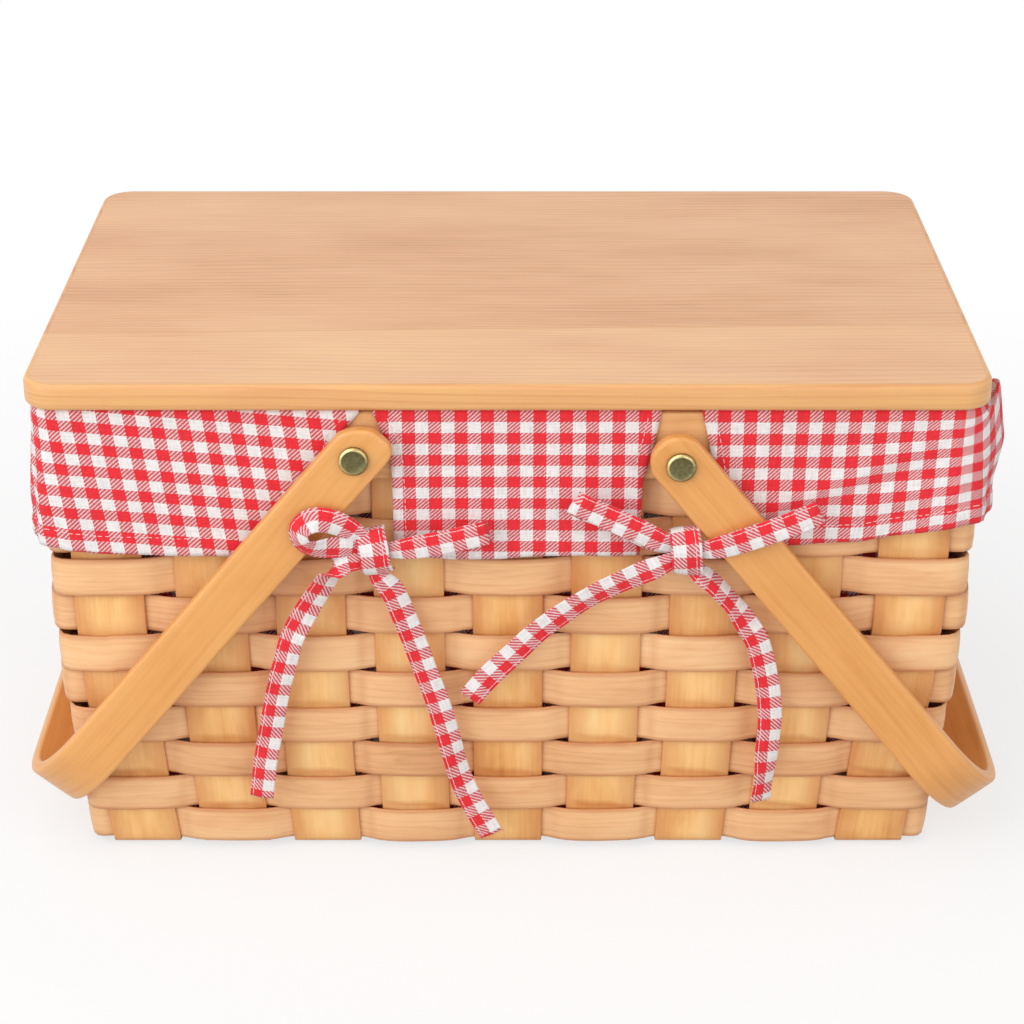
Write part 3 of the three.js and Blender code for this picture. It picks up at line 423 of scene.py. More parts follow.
class Skin:
    def __init__(self, tone=0.5):
        self.points = []
        self.faces = []
        self.places = []
        self.tones = []
        self.stains_and_shade = []
        self.tone = tone

    def point(self, place, tone=None, stain=0.0):
        self.points.append(Vector(place))
        self.tones.append(self.tone if tone is None else tone)
        self.stains_and_shade.append(stain)
        return len(self.points) - 1

    def face(self, corners, places):
        self.faces.append(corners)
        self.places.append(places)

    def grid(self, rows, places, loop_rows=False, loop_columns=False, stains_and_shade=None):
        """Joins rows of points. places has a row or a column more where that way is a loop."""
        index = [[self.point(p, stain=stains_and_shade[i][j] if stains_and_shade else 0.0) for j, p in enumerate(row)]
                 for i, row in enumerate(rows)]
        count, width = len(rows), len(rows[0])
        for i in range(count if loop_rows else count - 1):
            for j in range(width if loop_columns else width - 1):
                spots = [(i, j), (i + 1, j), (i + 1, j + 1), (i, j + 1)]
                self.face([index[a % count][b % width] for a, b in spots], [places[a][b] for a, b in spots])
        return index

    def join(self, first, second, place=lambda point: (0, 0)):
        """Faces between two rings of points. place gives a point's place in the grain."""
        for i in range(len(first)):
            n = (i + 1) % len(first)
            corners = [first[i], first[n], second[n], second[i]]
            self.face(corners, [place(self.points[c]) for c in corners])

    def cap(self, ring, place=(0, 0)):
        self.face(ring, [place] * len(ring))

    def piece(self, name, merge=0.0):
        mesh = bpy.data.meshes.new(name)
        mesh.from_pydata([p * MM for p in self.points], [], self.faces)
        layer = mesh.uv_layers.new(name="Grain")
        flat = [value * MM for face in self.places for place in face for value in place]
        layer.uv.foreach_set("vector", flat)
        for title, values in (("tone", self.tones), ("stain", self.stains_and_shade)):
            mesh.attributes.new(title, "FLOAT", "POINT").data.foreach_set("value", values)
        work = bmesh.new()
        work.from_mesh(mesh)
        if merge:
            bmesh.ops.remove_doubles(work, verts=work.verts, dist=merge * MM)
        bmesh.ops.recalc_face_normals(work, faces=work.faces)
        work.to_mesh(mesh)
        work.free()
        mesh.polygons.foreach_set("use_smooth", [True] * len(mesh.polygons))
        return placed(name, mesh)


def settle(piece, material, slot, body, *nodes):
    """Gives a piece its finish and its body, and hides the CAD nodes that it stands for."""
    piece.data.materials.append(material)
    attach(piece, body)
    if nodes:
        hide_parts(*nodes)
    return piece


def wobble(*place):
    """Smooth noise from -1 to 1."""
    return noise.noise(Vector(place))


def smooth_step(value, low, high):
    share = min(1.0, max(0.0, (value - low) / (high - low)))
    return share * share * (3 - 2 * share)


def mix(a, b, share):
    return a + (b - a) * share


# The woven body, measured to the middle of its splints

rim_low, rim_high = box_mm("rim_outer")
RIM_OUT = 4.5  # from the middle of a wall's splints to the outer rim's face
HALF_LENGTH = rim_high.x - RIM_OUT
HALF_DEPTH = rim_high.y - RIM_OUT
CORNER_RADIUS = 6
BASE_INSET = 7.2
INSET_HEIGHT = 130
END_BOW = 4
STAKE_WIDTH = 30
FRONT_STAKES = 9
END_STAKES = 5
FRONT_MARGIN = 2.7
END_MARGIN = 6.5
ROWS = 10
ROW_PITCH = 18
WEAVER_WIDTH = 17.3
SPLINT_THICKNESS = 1.3
FRONT_SWELL = 2.6  # how far the middle of a weaver stands out over a stake
END_SWELL = 2.4
LOW_END_SWELL = 1.7  # flatter on the lowest rows of the ends, where the handles rest
LOW_ROWS = 7  # the first of those rows, counted from the top
REAR_MIDDLE = FRONT_STAKES + END_STAKES + FRONT_STAKES // 2
STAKE_SWELL = 0.35
BASE_Z = 2.1
RIGHT_FLARE = 3.8  # how far the ends lean out below the rims, as hand weaving does
LEFT_FLARE = 1.8
FLARE_GROWS = (40, 130)  # heights over which the lean grows and goes again
FLARE_GOES = (163, 186)
FLARE_REACH = (110, 190)  # how far from the basket's middle it starts and is full
HOOP_SAMPLES = 392
# Beaten down a little unevenly, most in the middle rows
SETTLING = [0.0, 0.5, 1.1, 1.6, 1.9, 2.1, 2.2, 2.2, 2.1, 1.9]
row_heights = [sum(corner.z for corner in box_mm(f"weaver_{row + 1:02d}")) / 2 - settling
               for row, settling in enumerate(SETTLING)]


def flared(point):
    """The weave is a little longer under the rims than at them, and leans out at both ends."""
    grown = smooth_step(point.z, *FLARE_GROWS) * (1 - smooth_step(point.z, *FLARE_GOES))
    reach = smooth_step(abs(point.x), *FLARE_REACH)
    point.x += (RIGHT_FLARE if point.x > 0 else -LEFT_FLARE) * grown * reach
    return point


def wall_inset(z):
    """How far a wall is drawn in towards the base at this height."""
    return BASE_INSET * max(0.0, 1 - z / INSET_HEIGHT) ** 2


def inset_slope(z):
    return 2 * BASE_INSET / INSET_HEIGHT * max(0.0, 1 - z / INSET_HEIGHT)


def end_bow(s, z):
    """How far an end wall bellies out, this far to the side of its middle."""
    belly = math.sin(math.pi * z / INSET_HEIGHT) if 0 < z < INSET_HEIGHT else 0.0
    reach = HALF_DEPTH - wall_inset(z) - CORNER_RADIUS
    return END_BOW * belly * max(0.0, 1 - (s / reach) ** 2)


def ring_place(distance, half_x, half_y, radius):
    """The point and the outward direction this far round a rounded rectangle, from the middle of its front
    towards the right."""
    straight_x, straight_y = half_x - radius, half_y - radius
    arc = math.pi * radius / 2
    quarter = straight_x + arc + straight_y
    d = distance % (4 * quarter)
    flip_x = d > 2 * quarter
    d = 4 * quarter - d if flip_x else d
    flip_y = d > quarter
    d = 2 * quarter - d if flip_y else d
    if d < straight_x:
        x, y, out_x, out_y = d, -half_y, 0.0, -1.0
    elif d < straight_x + arc:
        angle = (d - straight_x) / radius
        out_x, out_y = math.sin(angle), -math.cos(angle)
        x, y = straight_x + radius * out_x, -straight_y + radius * out_y
    else:
        x, y, out_x, out_y = half_x, d - straight_x - arc - straight_y, 1.0, 0.0
    sign_x, sign_y = -1 if flip_x else 1, -1 if flip_y else 1
    return Vector((x * sign_x, y * sign_y, 0)), Vector((out_x * sign_x, out_y * sign_y, 0))


def ring_length(half_x, half_y, radius):
    return 4 * (half_x + half_y - 2 * radius) + 2 * math.pi * radius


def stake_centres(wall, z):
    """How far the stakes of a wall are from its middle. The walls are the front, right, rear and left."""
    count, margin, half = ((FRONT_STAKES, FRONT_MARGIN, HALF_LENGTH) if wall % 2 == 0
                           else (END_STAKES, END_MARGIN, HALF_DEPTH))
    pitch = (2 * (half - wall_inset(z) - CORNER_RADIUS) - STAKE_WIDTH - 2 * margin) / (count - 1)
    return [(k - (count - 1) / 2) * pitch for k in range(count)]


def weaver_is_over(stake, row):
    return (stake + row) % 2 == 0


def half_sizes(z, offset=0.0):
    """Half the length and depth of the hoop at height z, or of a ring this far outside it."""
    return HALF_LENGTH - wall_inset(z) + offset, HALF_DEPTH - wall_inset(z) + offset


def hoop_centres(z):
    """How far round the hoop at height z each of the 28 stakes is, in the weavers' order, and its length."""
    length = ring_length(*half_sizes(z), CORNER_RADIUS)
    middles = [0, length / 4, length / 2, 3 * length / 4]
    return [middles[wall] + s for wall in range(4) for s in stake_centres(wall, z)], length


def splint_section(width, thickness, dome, edge=0.5):
    """A splint is flat inside and slightly domed outside, with eased edges."""
    half, low = width / 2, thickness / 2
    outer = [(-half + edge, low), (-half + 2.2, low + dome * 0.3), (-half * 0.55, low + dome * 0.7),
             (-half * 0.2, low + dome), (half * 0.2, low + dome), (half * 0.55, low + dome * 0.7),
             (half - 2.2, low + dome * 0.3), (half - edge, low)]
    inner = [(half - edge, -low), (half * 0.3, -low), (-half * 0.3, -low), (-half + edge, -low)]
    corner = edge * 0.3
    return [*outer, (half - corner, low - corner), (half, 0), (half - corner, -low + corner), *inner,
            (-half + corner, -low + corner), (-half, 0), (-half + corner, low - corner)]


def stations_along(points, hints, loop=False):
    """A path's points, each with the directions across it and out of it. Across keeps as near as it can to
    the hint."""
    stations, last = [], len(points) - 1
    for i, (point, hint) in enumerate(zip(points, hints)):
        before, after = (i - 1, (i + 1) % len(points)) if loop else (max(i - 1, 0), min(i + 1, last))
        along = (points[after] - points[before]).normalized()
        across = (hint - along * along.dot(hint)).normalized()
        stations.append((point, across, along.cross(across)))
    return stations


# How dark the edges of weavers and stakes are painted, as painted shade at the gaps, and over what width in
# mm
EDGE_SHADE = 0.5
EDGE_SHADE_WIDTH = 0.8


def swept(skin, stations, section, start=0.0, loop=False, stains_and_shade=None, shift=0.0):
    """Sweeps a section along stations of point, across and out. The grain runs along the way, and start and
    shift say where in the grain it begins."""
    distance, distances = start, []
    for i, (point, _, _) in enumerate(stations):
        if i:
            distance += (point - stations[i - 1][0]).length
        distances.append(distance)
    if loop:
        distances.append(distance + (stations[0][0] - stations[-1][0]).length)
    rows = [[point + across * a + out * n for a, n in section] for point, across, out in stations]
    places = [[(d, a + shift) for a, _ in [*section, section[0]]] for d in distances]
    spread = None
    if stains_and_shade:
        # Painted shade along the edges too, where each splint meets the next
        half = max(a for a, _ in section)
        edges = [EDGE_SHADE if half - abs(a) < EDGE_SHADE_WIDTH else 0.0 for a, _ in section]
        spread = [[max(value, edge) for edge in edges] for value in stains_and_shade]
    index = skin.grid(rows, places, loop_rows=loop, loop_columns=True, stains_and_shade=spread)
    if not loop:
        skin.cap(index[0][::-1], places[0][0])
        skin.cap(index[-1], places[-1][0])


def weave_share(x):
    """From 1 in the middle of one stake, through 0, to -1 in the middle of the next, for x from 0 to 1."""
    cosine = math.cos(math.pi * x)
    return 1.7 * cosine / (abs(cosine) + 0.7)


def weaver(row):
    z = row_heights[row]
    centres, length = hoop_centres(z)
    count = len(centres)
    first = REAR_MIDDLE  # the hoop's scarf joint is under this stake, at the back
    end_swell = END_SWELL if row < LOW_ROWS else LOW_END_SWELL
    points, leans, stains_and_shade = [], [], []
    for i in range(HOOP_SAMPLES):
        d = (centres[first] + length * i / HOOP_SAMPLES) % length
        d -= length if d >= centres[0] + length else 0.0
        k = max(j for j in range(count) if centres[j] <= d + 1e-6)
        following = centres[k + 1] if k + 1 < count else centres[0] + length
        share = weave_share((d - centres[k]) / (following - centres[k]))
        base, out = ring_place(d, *half_sizes(z), CORNER_RADIUS)
        on_end = abs(out.x) > 0.7
        swell = (end_swell if on_end else FRONT_SWELL) * (1 + 0.12 * wobble(k * 0.7, row * 1.3, 5))
        side = 1 if weaver_is_over(k, row) else -1
        offset = side * share * swell
        lean = inset_slope(z)
        if abs(out.x) > 0.999:
            offset += end_bow(base.y, z)
            lean += (end_bow(base.y, z + 1) - end_bow(base.y, z - 1)) / 2
        rise = 0.45 * wobble(d * 0.012, row * 2.1, 1) + 0.25 * wobble(d * 0.05, row * 2.1, 7)
        points.append(flared(base + out * offset + UP * (z + rise)))
        leans.append((UP + out * lean).normalized())
        # Painted shade: darker where the weaver turns from over one stake to under the next
        stains_and_shade.append(0.2 * (1 - smooth_step(abs(share), 0.0, 0.3)))
    # The tone differs at random from row to row, and grows by 0.04 a row downwards: painted shade, darker
    # towards the base
    skin = Skin(tone=random.Random(row * 7 + 3).uniform(0.0, 0.8) + 0.04 * row)
    section = splint_section(WEAVER_WIDTH, SPLINT_THICKNESS, 0.35)
    stations = stations_along(points, leans, loop=True)
    swept(skin, stations, section, start=413.0 * row, loop=True, stains_and_shade=stains_and_shade, shift=5.4 * row)
    name = f"weaver_{row + 1:02d}"
    settle(skin.piece("splint_" + name), weaver_splint, "weaver_splint", "basket", name)


for row in range(ROWS):
    weaver(row)


# Stakes: each is one splint down a wall, under the basket and up the other wall

STAKE_TOP = rim_high.z - 3
BEND = 3  # radius of the turn under the base
LEG_STEPS = 70
BEND_STEPS = 5
BASE_STEPS = 96


def wall_point(wall, s, z, offset):
    out = (HALF_DEPTH if wall % 2 == 0 else HALF_LENGTH) - wall_inset(z) + offset
    if wall % 2 == 1:
        out += end_bow(s, z)
    x, y = [(s, -out), (out, s), (-s, out), (-out, -s)][wall]
    return flared(Vector((x, y, z)))


def stake_shift(number, z):
    """How far a stake gives way, inwards under a weaver and outwards over one, and how dark it is painted:
    darkest beside the weavers' edges, partly staining gathered at the crossings and partly painted shade
    from the weavers.
    """
    row = (row_heights[0] + ROW_PITCH / 2 - z) / ROW_PITCH
    if row < 0 or row >= ROWS:
        return 0.0, 0.15
    side = -1 if weaver_is_over(number, int(row)) else 1
    bulge = math.sin(math.pi * (row % 1)) ** 0.6
    # Darkest next to the weavers above and below: staining gathered at the crossings, and painted shade
    stain = 0.55 * (1 - smooth_step(bulge, 0.15, 0.6))
    return side * STAKE_SWELL * bulge, stain


def stake_leg(wall, index, number):
    """Points, with their staining and painted shade, from the top down to the turn into the base."""
    points, stains_and_shade = [], []
    heights = [STAKE_TOP - (STAKE_TOP - BASE_Z - BEND) * i / LEG_STEPS for i in range(LEG_STEPS + 1)]
    for z in heights:
        shift, stain = stake_shift(number, z)
        points.append(wall_point(wall, stake_centres(wall, z)[index], z, shift))
        stains_and_shade.append(stain)
    foot = points[-1]
    inward = Vector([(0, 1, 0), (-1, 0, 0), (0, -1, 0), (1, 0, 0)][wall])
    for step in range(1, BEND_STEPS + 1):
        angle = math.pi / 2 * step / BEND_STEPS
        points.append(foot + inward * BEND * (1 - math.cos(angle)) - UP * BEND * math.sin(angle))
        stains_and_shade.append(0.3)
    return points, stains_and_shade


def stake(name, points, across, stains_and_shade, seed):
    skin = Skin(tone=random.Random(seed).uniform(0.0, 0.9))
    section = splint_section(STAKE_WIDTH, SPLINT_THICKNESS - 0.1, 0.3)
    stations = stations_along(points, [across] * len(points))
    swept(skin, stations, section, start=277.0 * seed, stains_and_shade=stains_and_shade, shift=3.6 * seed)
    settle(skin.piece("splint_" + name), stake_splint, "stake_splint", "basket", name)


def cross_stake(k):
    front, front_stain_and_shade = stake_leg(0, k, k)
    rear, rear_stain_and_shade = stake_leg(2, FRONT_STAKES - 1 - k, FRONT_STAKES + END_STAKES + FRONT_STAKES - 1 - k)
    points = front + rear[::-1]
    stake(f"cross_stake_{k + 1}", points, Vector((-1, 0, 0)), front_stain_and_shade + rear_stain_and_shade[::-1], 11 + k)


def length_stake(k):
    right, right_stain_and_shade = stake_leg(1, k, FRONT_STAKES + k)
    left, left_stain_and_shade = stake_leg(3, END_STAKES - 1 - k, 2 * FRONT_STAKES + 2 * END_STAKES - 1 - k)
    base = []
    centres = stake_centres(0, 0)
    for i in range(BASE_STEPS + 1):
        x = (1 - 2 * i / BASE_STEPS) * centres[-1]
        spot = (x - centres[0]) / (centres[1] - centres[0])
        nearest = min(len(centres) - 1, max(0, int(spot)))
        share = weave_share(spot - nearest) * (1 if (nearest + k) % 2 == 0 else -1)
        base.append(Vector((x, right[-1].y, BASE_Z + 1.5 * share)))
    points = right + base + left[::-1]
    stains_and_shade = right_stain_and_shade + [0.1] * len(base) + left_stain_and_shade[::-1]
    stake(f"length_stake_{k + 1}", points, Vector((0, -1, 0)), stains_and_shade, 31 + k)


for k in range(FRONT_STAKES):
    cross_stake(k)
for k in range(END_STAKES):
    length_stake(k)


# Rims: two bands that hold the stakes' ends between them

RIM_THICKNESS = 3.6
RIM_MIDDLE = RIM_OUT - RIM_THICKNESS / 2
RIM_SAMPLES = 260


def rim(name, offset, seed):
    half_x, half_y, radius = HALF_LENGTH + offset, HALF_DEPTH + offset, max(CORNER_RADIUS + offset, 3)
    length = ring_length(half_x, half_y, radius)
    stations = []
    for i in range(RIM_SAMPLES):
        point, out = ring_place(length * i / RIM_SAMPLES, half_x, half_y, radius)
        stations.append((point + UP * (rim_low.z + rim_high.z) / 2, UP, out))
    skin = Skin(tone=0.4 + 0.2 * seed)
    section = splint_section(rim_high.z - rim_low.z, RIM_THICKNESS, 0.0, edge=1.1)
    swept(skin, stations, section, start=900.0 * seed, loop=True, shift=11.7 * seed)
    settle(skin.piece("band_" + name), rim_wood, "rim_wood", "basket", name)


rim("rim_outer", RIM_MIDDLE, 1)
rim("rim_inner", -RIM_MIDDLE, 2)


# Lid: a panel of two boards with eased edges, two battens and four screws

LID_CORNER = 14
LID_ARRIS = 2.2
BATTEN_CORNER = 1.9
BATTEN_ARRIS = 1.1
BATTEN_GAP = Vector((0, 0, 0.02))  # the finish between a batten and the panel
EASING_STEPS = 5
CAP_INSET = 0.7  # how far in from the arris the flat of a board starts
SCREW_SIDES = 32


def eased_board(name, low, high, corner, arris, steps, lengthways):
    """A board with round corners in plan and rounded edges above and below. Its sides are stained."""
    middle = (low + high) / 2
    half = (high - low) / 2

    def ring_at(inset, z):
        """Points round the board, close together in its corners."""
        ring = []
        radius = corner - inset
        for turn, (sign_x, sign_y) in enumerate([(1, -1), (1, 1), (-1, 1), (-1, -1)]):
            for i in range(steps + 1):
                angle = math.pi / 2 * (turn - 1 + i / steps)
                ring.append(Vector((middle.x + sign_x * (half.x - corner) + radius * math.cos(angle),
                                    middle.y + sign_y * (half.y - corner) + radius * math.sin(angle), z)))
        return ring

    def flat_place(p):
        return (p.x, p.y) if lengthways else (p.y, p.x)

    def side_place(p):
        along, across = flat_place(p)
        rings_bend = 3.5 * math.cos(across / 37)  # the growth rings lie in shallow arcs on the end grain
        return along, p.z + 0.1 * across + rings_bend

    turns = [math.pi / 2 * i / EASING_STEPS for i in range(EASING_STEPS + 1)]
    levels = [(arris * (1 - math.sin(turn)), low.z + arris * (1 - math.cos(turn))) for turn in turns]
    levels += [(inset, low.z + high.z - z) for inset, z in reversed(levels)]
    rings = [ring_at(inset, z) for inset, z in levels]
    skin = Skin(tone=0.5)
    places = [[side_place(p) for p in [*ring, ring[0]]] for ring in rings]
    index = skin.grid(rings, places, loop_columns=True, stains_and_shade=[[1.0] * len(rings[0])] * len(rings))
    for edge, z in ((index[0], low.z), (index[-1], high.z)):
        ring = ring_at(arris + CAP_INSET, z)
        inner = [skin.point(p) for p in ring]
        skin.join(edge, inner, flat_place)
        skin.face(inner, [flat_place(p) for p in ring])
    return skin.piece(name)


panel = eased_board("board_lid", *box_mm("lid_panel"), LID_CORNER, LID_ARRIS, 12, True)
settle(panel, board_face, "board", "lid", "lid_panel")
for end in ENDS:
    node = f"lid_batten_{end}"
    low, high = box_mm(node)
    strip = eased_board("strip_" + node, low, high - BATTEN_GAP, BATTEN_CORNER, BATTEN_ARRIS, 3, False)
    settle(strip, batten_wood, "board", "lid", node)


def turned(profile, sides, tones=None):
    """A lathe shape round Z. Its profile is pairs of radius and height, from the bottom up."""
    skin = Skin()
    turns = [math.tau * i / sides for i in range(sides)]
    rings = []
    for (radius, height), tone in zip(profile, tones or [0.5] * len(profile)):
        ring = [(radius * math.cos(turn), radius * math.sin(turn), height) for turn in turns]
        rings.append([skin.point(p, tone) for p in ring])
    for low, high in zip(rings, rings[1:]):
        skin.join(low, high)
    return skin


def moved(skin, matrix):
    skin.points = [matrix @ p for p in skin.points]
    return skin


def screw(name):
    """A countersunk screw, head down, with a cross recess."""
    low, high = box_mm(name)
    middle = (low + high) / 2
    profile = [(0.001, 1.3), (0.5, 1.1), (1.0, 0.25), (1.15, 0.12), (3.3, 0.0), (3.6, 0.25), (1.8, 2.2),
               (1.8, 12.5), (0.001, 14)]
    skin = turned(profile, SCREW_SIDES)
    # The recess: its rings are drawn out into four arms
    for ring, reach in ((1, 1.0), (2, 1.3), (3, 1.35)):
        for i in range(SCREW_SIDES):
            point = skin.points[ring * SCREW_SIDES + i]
            arm = abs(math.cos(2 * math.tau * i / SCREW_SIDES)) ** 6
            scale = 0.45 + reach * arm
            point.x *= scale
            point.y *= scale
    moved(skin, Matrix.Translation((middle.x, middle.y, low.z)))
    settle(skin.piece("zinc_" + name, merge=0.01), zinc, "screw_steel", "lid", name)


for face in FACES:
    for end in ENDS:
        screw(f"lid_screw_{face}_{end}")


# Handles: a flat bent band. It is worked out straight, with its ends shaped and its edges eased, and then
# laid along the bend.

HANDLE_REACH = 220.5
HANDLE_WIDTH = 23.5
HANDLE_THICKNESS = 6
HANDLE_BEND = 40  # radius of the bend to the middle of the band
HANDLE_ARRIS = 1.5
ARM_MIDDLE = 132.8  # from the basket's middle to the middle of an arm's thickness
LEANS = {"left": 39.72, "right": 38.833}  # degrees from straight down, at rest
# How far each handle goes past its rivets, and how square its ends are on the side that is above at rest and
# on the side that is below: 2 is round
HANDLE_ENDS = {"left": (14.8, 1.55, 3.8), "right": (13, 2, 2)}
END_STEPS = 12
BAND_STEPS = 130


def end_outline(shape, inset):
    """Place along and half width, from the tip to the full width, with this much taken off all round."""
    half = HANDLE_WIDTH / 2
    turns = [math.pi / 2 * i / END_STEPS for i in range(END_STEPS + 1)]
    return [(half - (half - inset) * abs(math.cos(turn)) ** (2 / shape),
             (half - inset) * math.sin(turn) ** (2 / shape)) for turn in turns]


def band_section():
    """Inset from the outline, height, and share of the half width, round the section."""
    top = HANDLE_THICKNESS / 2
    eased = [(HANDLE_ARRIS * (1 - math.sin(turn)), top - HANDLE_ARRIS * (1 - math.cos(turn)))
             for turn in (math.pi / 2 * i / 4 for i in range(5))]
    crown = [(HANDLE_ARRIS, top + 0.12 * (1 - share * share), share)
             for share in (-0.75, -0.4, 0.0, 0.4, 0.75)]
    side = [(inset, height, 1.0) for inset, height in eased]
    lower = [(inset, -height, 1.0) for inset, height in reversed(eased)]
    lower += [(HANDLE_ARRIS, -top, share) for share in (0.6, 0.0, -0.6)]
    left = [(inset, -height, -1.0) for inset, height in eased]
    left += [(inset, height, -1.0) for inset, height in reversed(eased)]
    return [*crown, *side, *lower, *left]


def handle(end, side):
    """A handle's U is half of a rounded rectangle, whose middle is between its two rivets."""
    section = band_section()
    past, upper_shape, lower_shape = HANDLE_ENDS[end]
    length = ring_length(HANDLE_REACH, ARM_MIDDLE, HANDLE_BEND) / 2 + 2 * past
    half = HANDLE_WIDTH / 2
    insets = {inset for inset, _, _ in section}
    lean = math.radians(LEANS[end])
    down = Vector((side * math.sin(lean), 0, -math.cos(lean)))
    wide = Vector((-side * math.cos(lean), 0, -math.sin(lean)))  # towards the side that is below at rest
    upper = {inset: end_outline(upper_shape, inset) for inset in insets}
    lower = {inset: end_outline(lower_shape, inset) for inset in insets}
    low, high = box_mm(f"rivet_front_{end}")
    pivot = Vector(((low.x + high.x) / 2, 0, (low.z + high.z) / 2))

    def from_tip(inset, share, i):
        """Distance along and half width at a place in the rounded end."""
        d_up, width_up = upper[inset][i]
        d_low, width_low = lower[inset][i]
        return mix(d_up, d_low, (share + 1) / 2), width_low if share > 0 else width_up

    def station(kind, i):
        row, marks = [], []
        for inset, height, share in section:
            if kind == "first":
                d, width = from_tip(inset, share, i)
            elif kind == "last":
                d, width = from_tip(inset, share, END_STEPS - i)
                d = length - d
            else:
                d, width = half + (length - 2 * half) * i / BAND_STEPS, half - inset
            base, out = ring_place(d - past, HANDLE_REACH, ARM_MIDDLE, HANDLE_BEND)
            across = share * width
            swell = 0.35 * wobble(d * 0.01, side * 4, 2)
            local = base + out * (height + 0.25 * wobble(d * 0.014, side * 3, 9))
            sideways = Vector((0, local.y, 0)) + wide * (across + swell * share * 0.5)
            row.append(pivot + down * local.x + sideways)
            marks.append((d + 1200 * (side + 2), across + height * 0.7))
        return row, [*marks, marks[0]]

    stations = [station("first", i) for i in range(END_STEPS)]
    stations += [station("middle", i) for i in range(BAND_STEPS + 1)]
    stations += [station("last", i) for i in range(1, END_STEPS + 1)]
    skin = Skin(tone=0.35 if end == "left" else 0.6)
    skin.grid([row for row, _ in stations], [marks for _, marks in stations], loop_columns=True)
    name = "handle_" + end
    settle(skin.piece("bent_" + name, merge=0.005), bent_wood, "bent_wood", name, name)


handle("left", -1)
handle("right", 1)


# Rivets and their spacer washers

RIVET_HEAD = 6.2
HEAD_HEIGHT = 2.4
RIVET_SHANK = 2.3
SPACER = 6
SPACER_HOLE = 2.6
HIGHLIGHT_SIDE = math.radians(135)  # the side of the bevel painted brightest, a painted highlight from the lamps at the upper left, seen from outside


def rivet_profile(tail, top):
    """From the middle of the tail's end, round the shank, to the middle of the head."""
    start, clinch = top - HEAD_HEIGHT, tail + 1.2
    rounded = [(0.3, start), (0, start + 0.3), (0, top - 1.0), (0.15, top - 0.6), (0.7, top - 0.15),
               (1.1, top), (1.3, top - 0.12), (1.45, top - 0.3)]
    return [(0.001, tail), (3.2, tail), (3.9, tail + 0.4), (4, clinch), (RIVET_SHANK, clinch),
            (RIVET_SHANK, start), *[(RIVET_HEAD - inset, height) for inset, height in rounded],
            (2.5, top - 0.26), (0.001, top - 0.25)]


def spacer_profile(near, far):
    return [(SPACER_HOLE, near), (SPACER - 0.3, near), (SPACER, near + 0.3), (SPACER, far - 0.3),
            (SPACER - 0.3, far), (SPACER_HOLE, far), (SPACER_HOLE, near)]


RIVET_TONES = [0.2, 0.2, 0.3, 0.2, 0.1, 0.1, 0.1, 0.15, 0.4, 0.9, 1, 0.8, 0.3, 0, 0, 0]
SPACER_TONES = [0.1, 0.2, 0.4, 0.4, 0.2, 0.1, 0.1]
# Profile, how bright the brass is worn at each point of it, sides, and how strong the painted highlight on
# the side towards the lamps is
BRASS_PIECES = {
    "rivet": (rivet_profile, RIVET_TONES, 48, 0.45),
    "spacer": (spacer_profile, SPACER_TONES, 32, 0.0),
}


def brass_piece(kind, face, end):
    """A rivet or a spacer, turned round the handle's pivot."""
    profile, tones, sides, highlight_share = BRASS_PIECES[kind]
    name = f"{kind}_{face}_{end}"
    low, high = box_mm(name)
    skin = turned(profile(*sorted((abs(low.y), abs(high.y)))), sides, tones)
    for k in range(len(skin.tones)):
        # The side of the rivet towards the lamps is painted brighter: a painted highlight
        skin.tones[k] *= 1 - highlight_share + highlight_share * math.cos(math.tau * (k % sides) / sides - HIGHLIGHT_SIDE)
    tip = Matrix.Rotation(math.radians(90 if face == "front" else -90), 4, "X")
    place = Matrix.Translation(((low.x + high.x) / 2, 0, (low.z + high.z) / 2))
    made = moved(skin, place @ tip).piece("brass_" + name, merge=0.01)
    settle(made, brass, "antique_brass", "basket", name)


for face in FACES:
    for end in ENDS:
        for kind in BRASS_PIECES:
            brass_piece(kind, face, end)


# Liner bag: floor, walls and the lip that lies over both rims

CLOTH = 0.55
BAG_OFFSET = -7.0  # from the middle of the wall's splints to the bag's walls
BAG_FLOOR = 5.1
LIP_Z = 216.95
LIP_OUT = 1.5
BAG_CORNER = 9
BAG_SAMPLES = 240


def thicken(piece):
    solid = piece.modifiers.new("thickness", "SOLIDIFY")
    solid.thickness = CLOTH * MM
    solid.offset = 0


def bag_ring(offset, z, radius, sag):
    """A ring of the bag's cloth, with its u along the cloth and soft ripples as deep as sag."""
    half_x, half_y = half_sizes(z, offset)
    length = ring_length(half_x, half_y, radius)
    ring = []
    for i in range(BAG_SAMPLES):
        point, out = ring_place(length * i / BAG_SAMPLES, half_x, half_y, radius)
        ripple = wobble(point.x * 0.02, point.y * 0.02, z * 0.012)
        ripple += 0.5 * wobble(point.x * 0.05, point.y * 0.05, z * 0.03)
        ring.append(point + out * (sag * (ripple - 0.4)) + UP * z)
    return ring, length


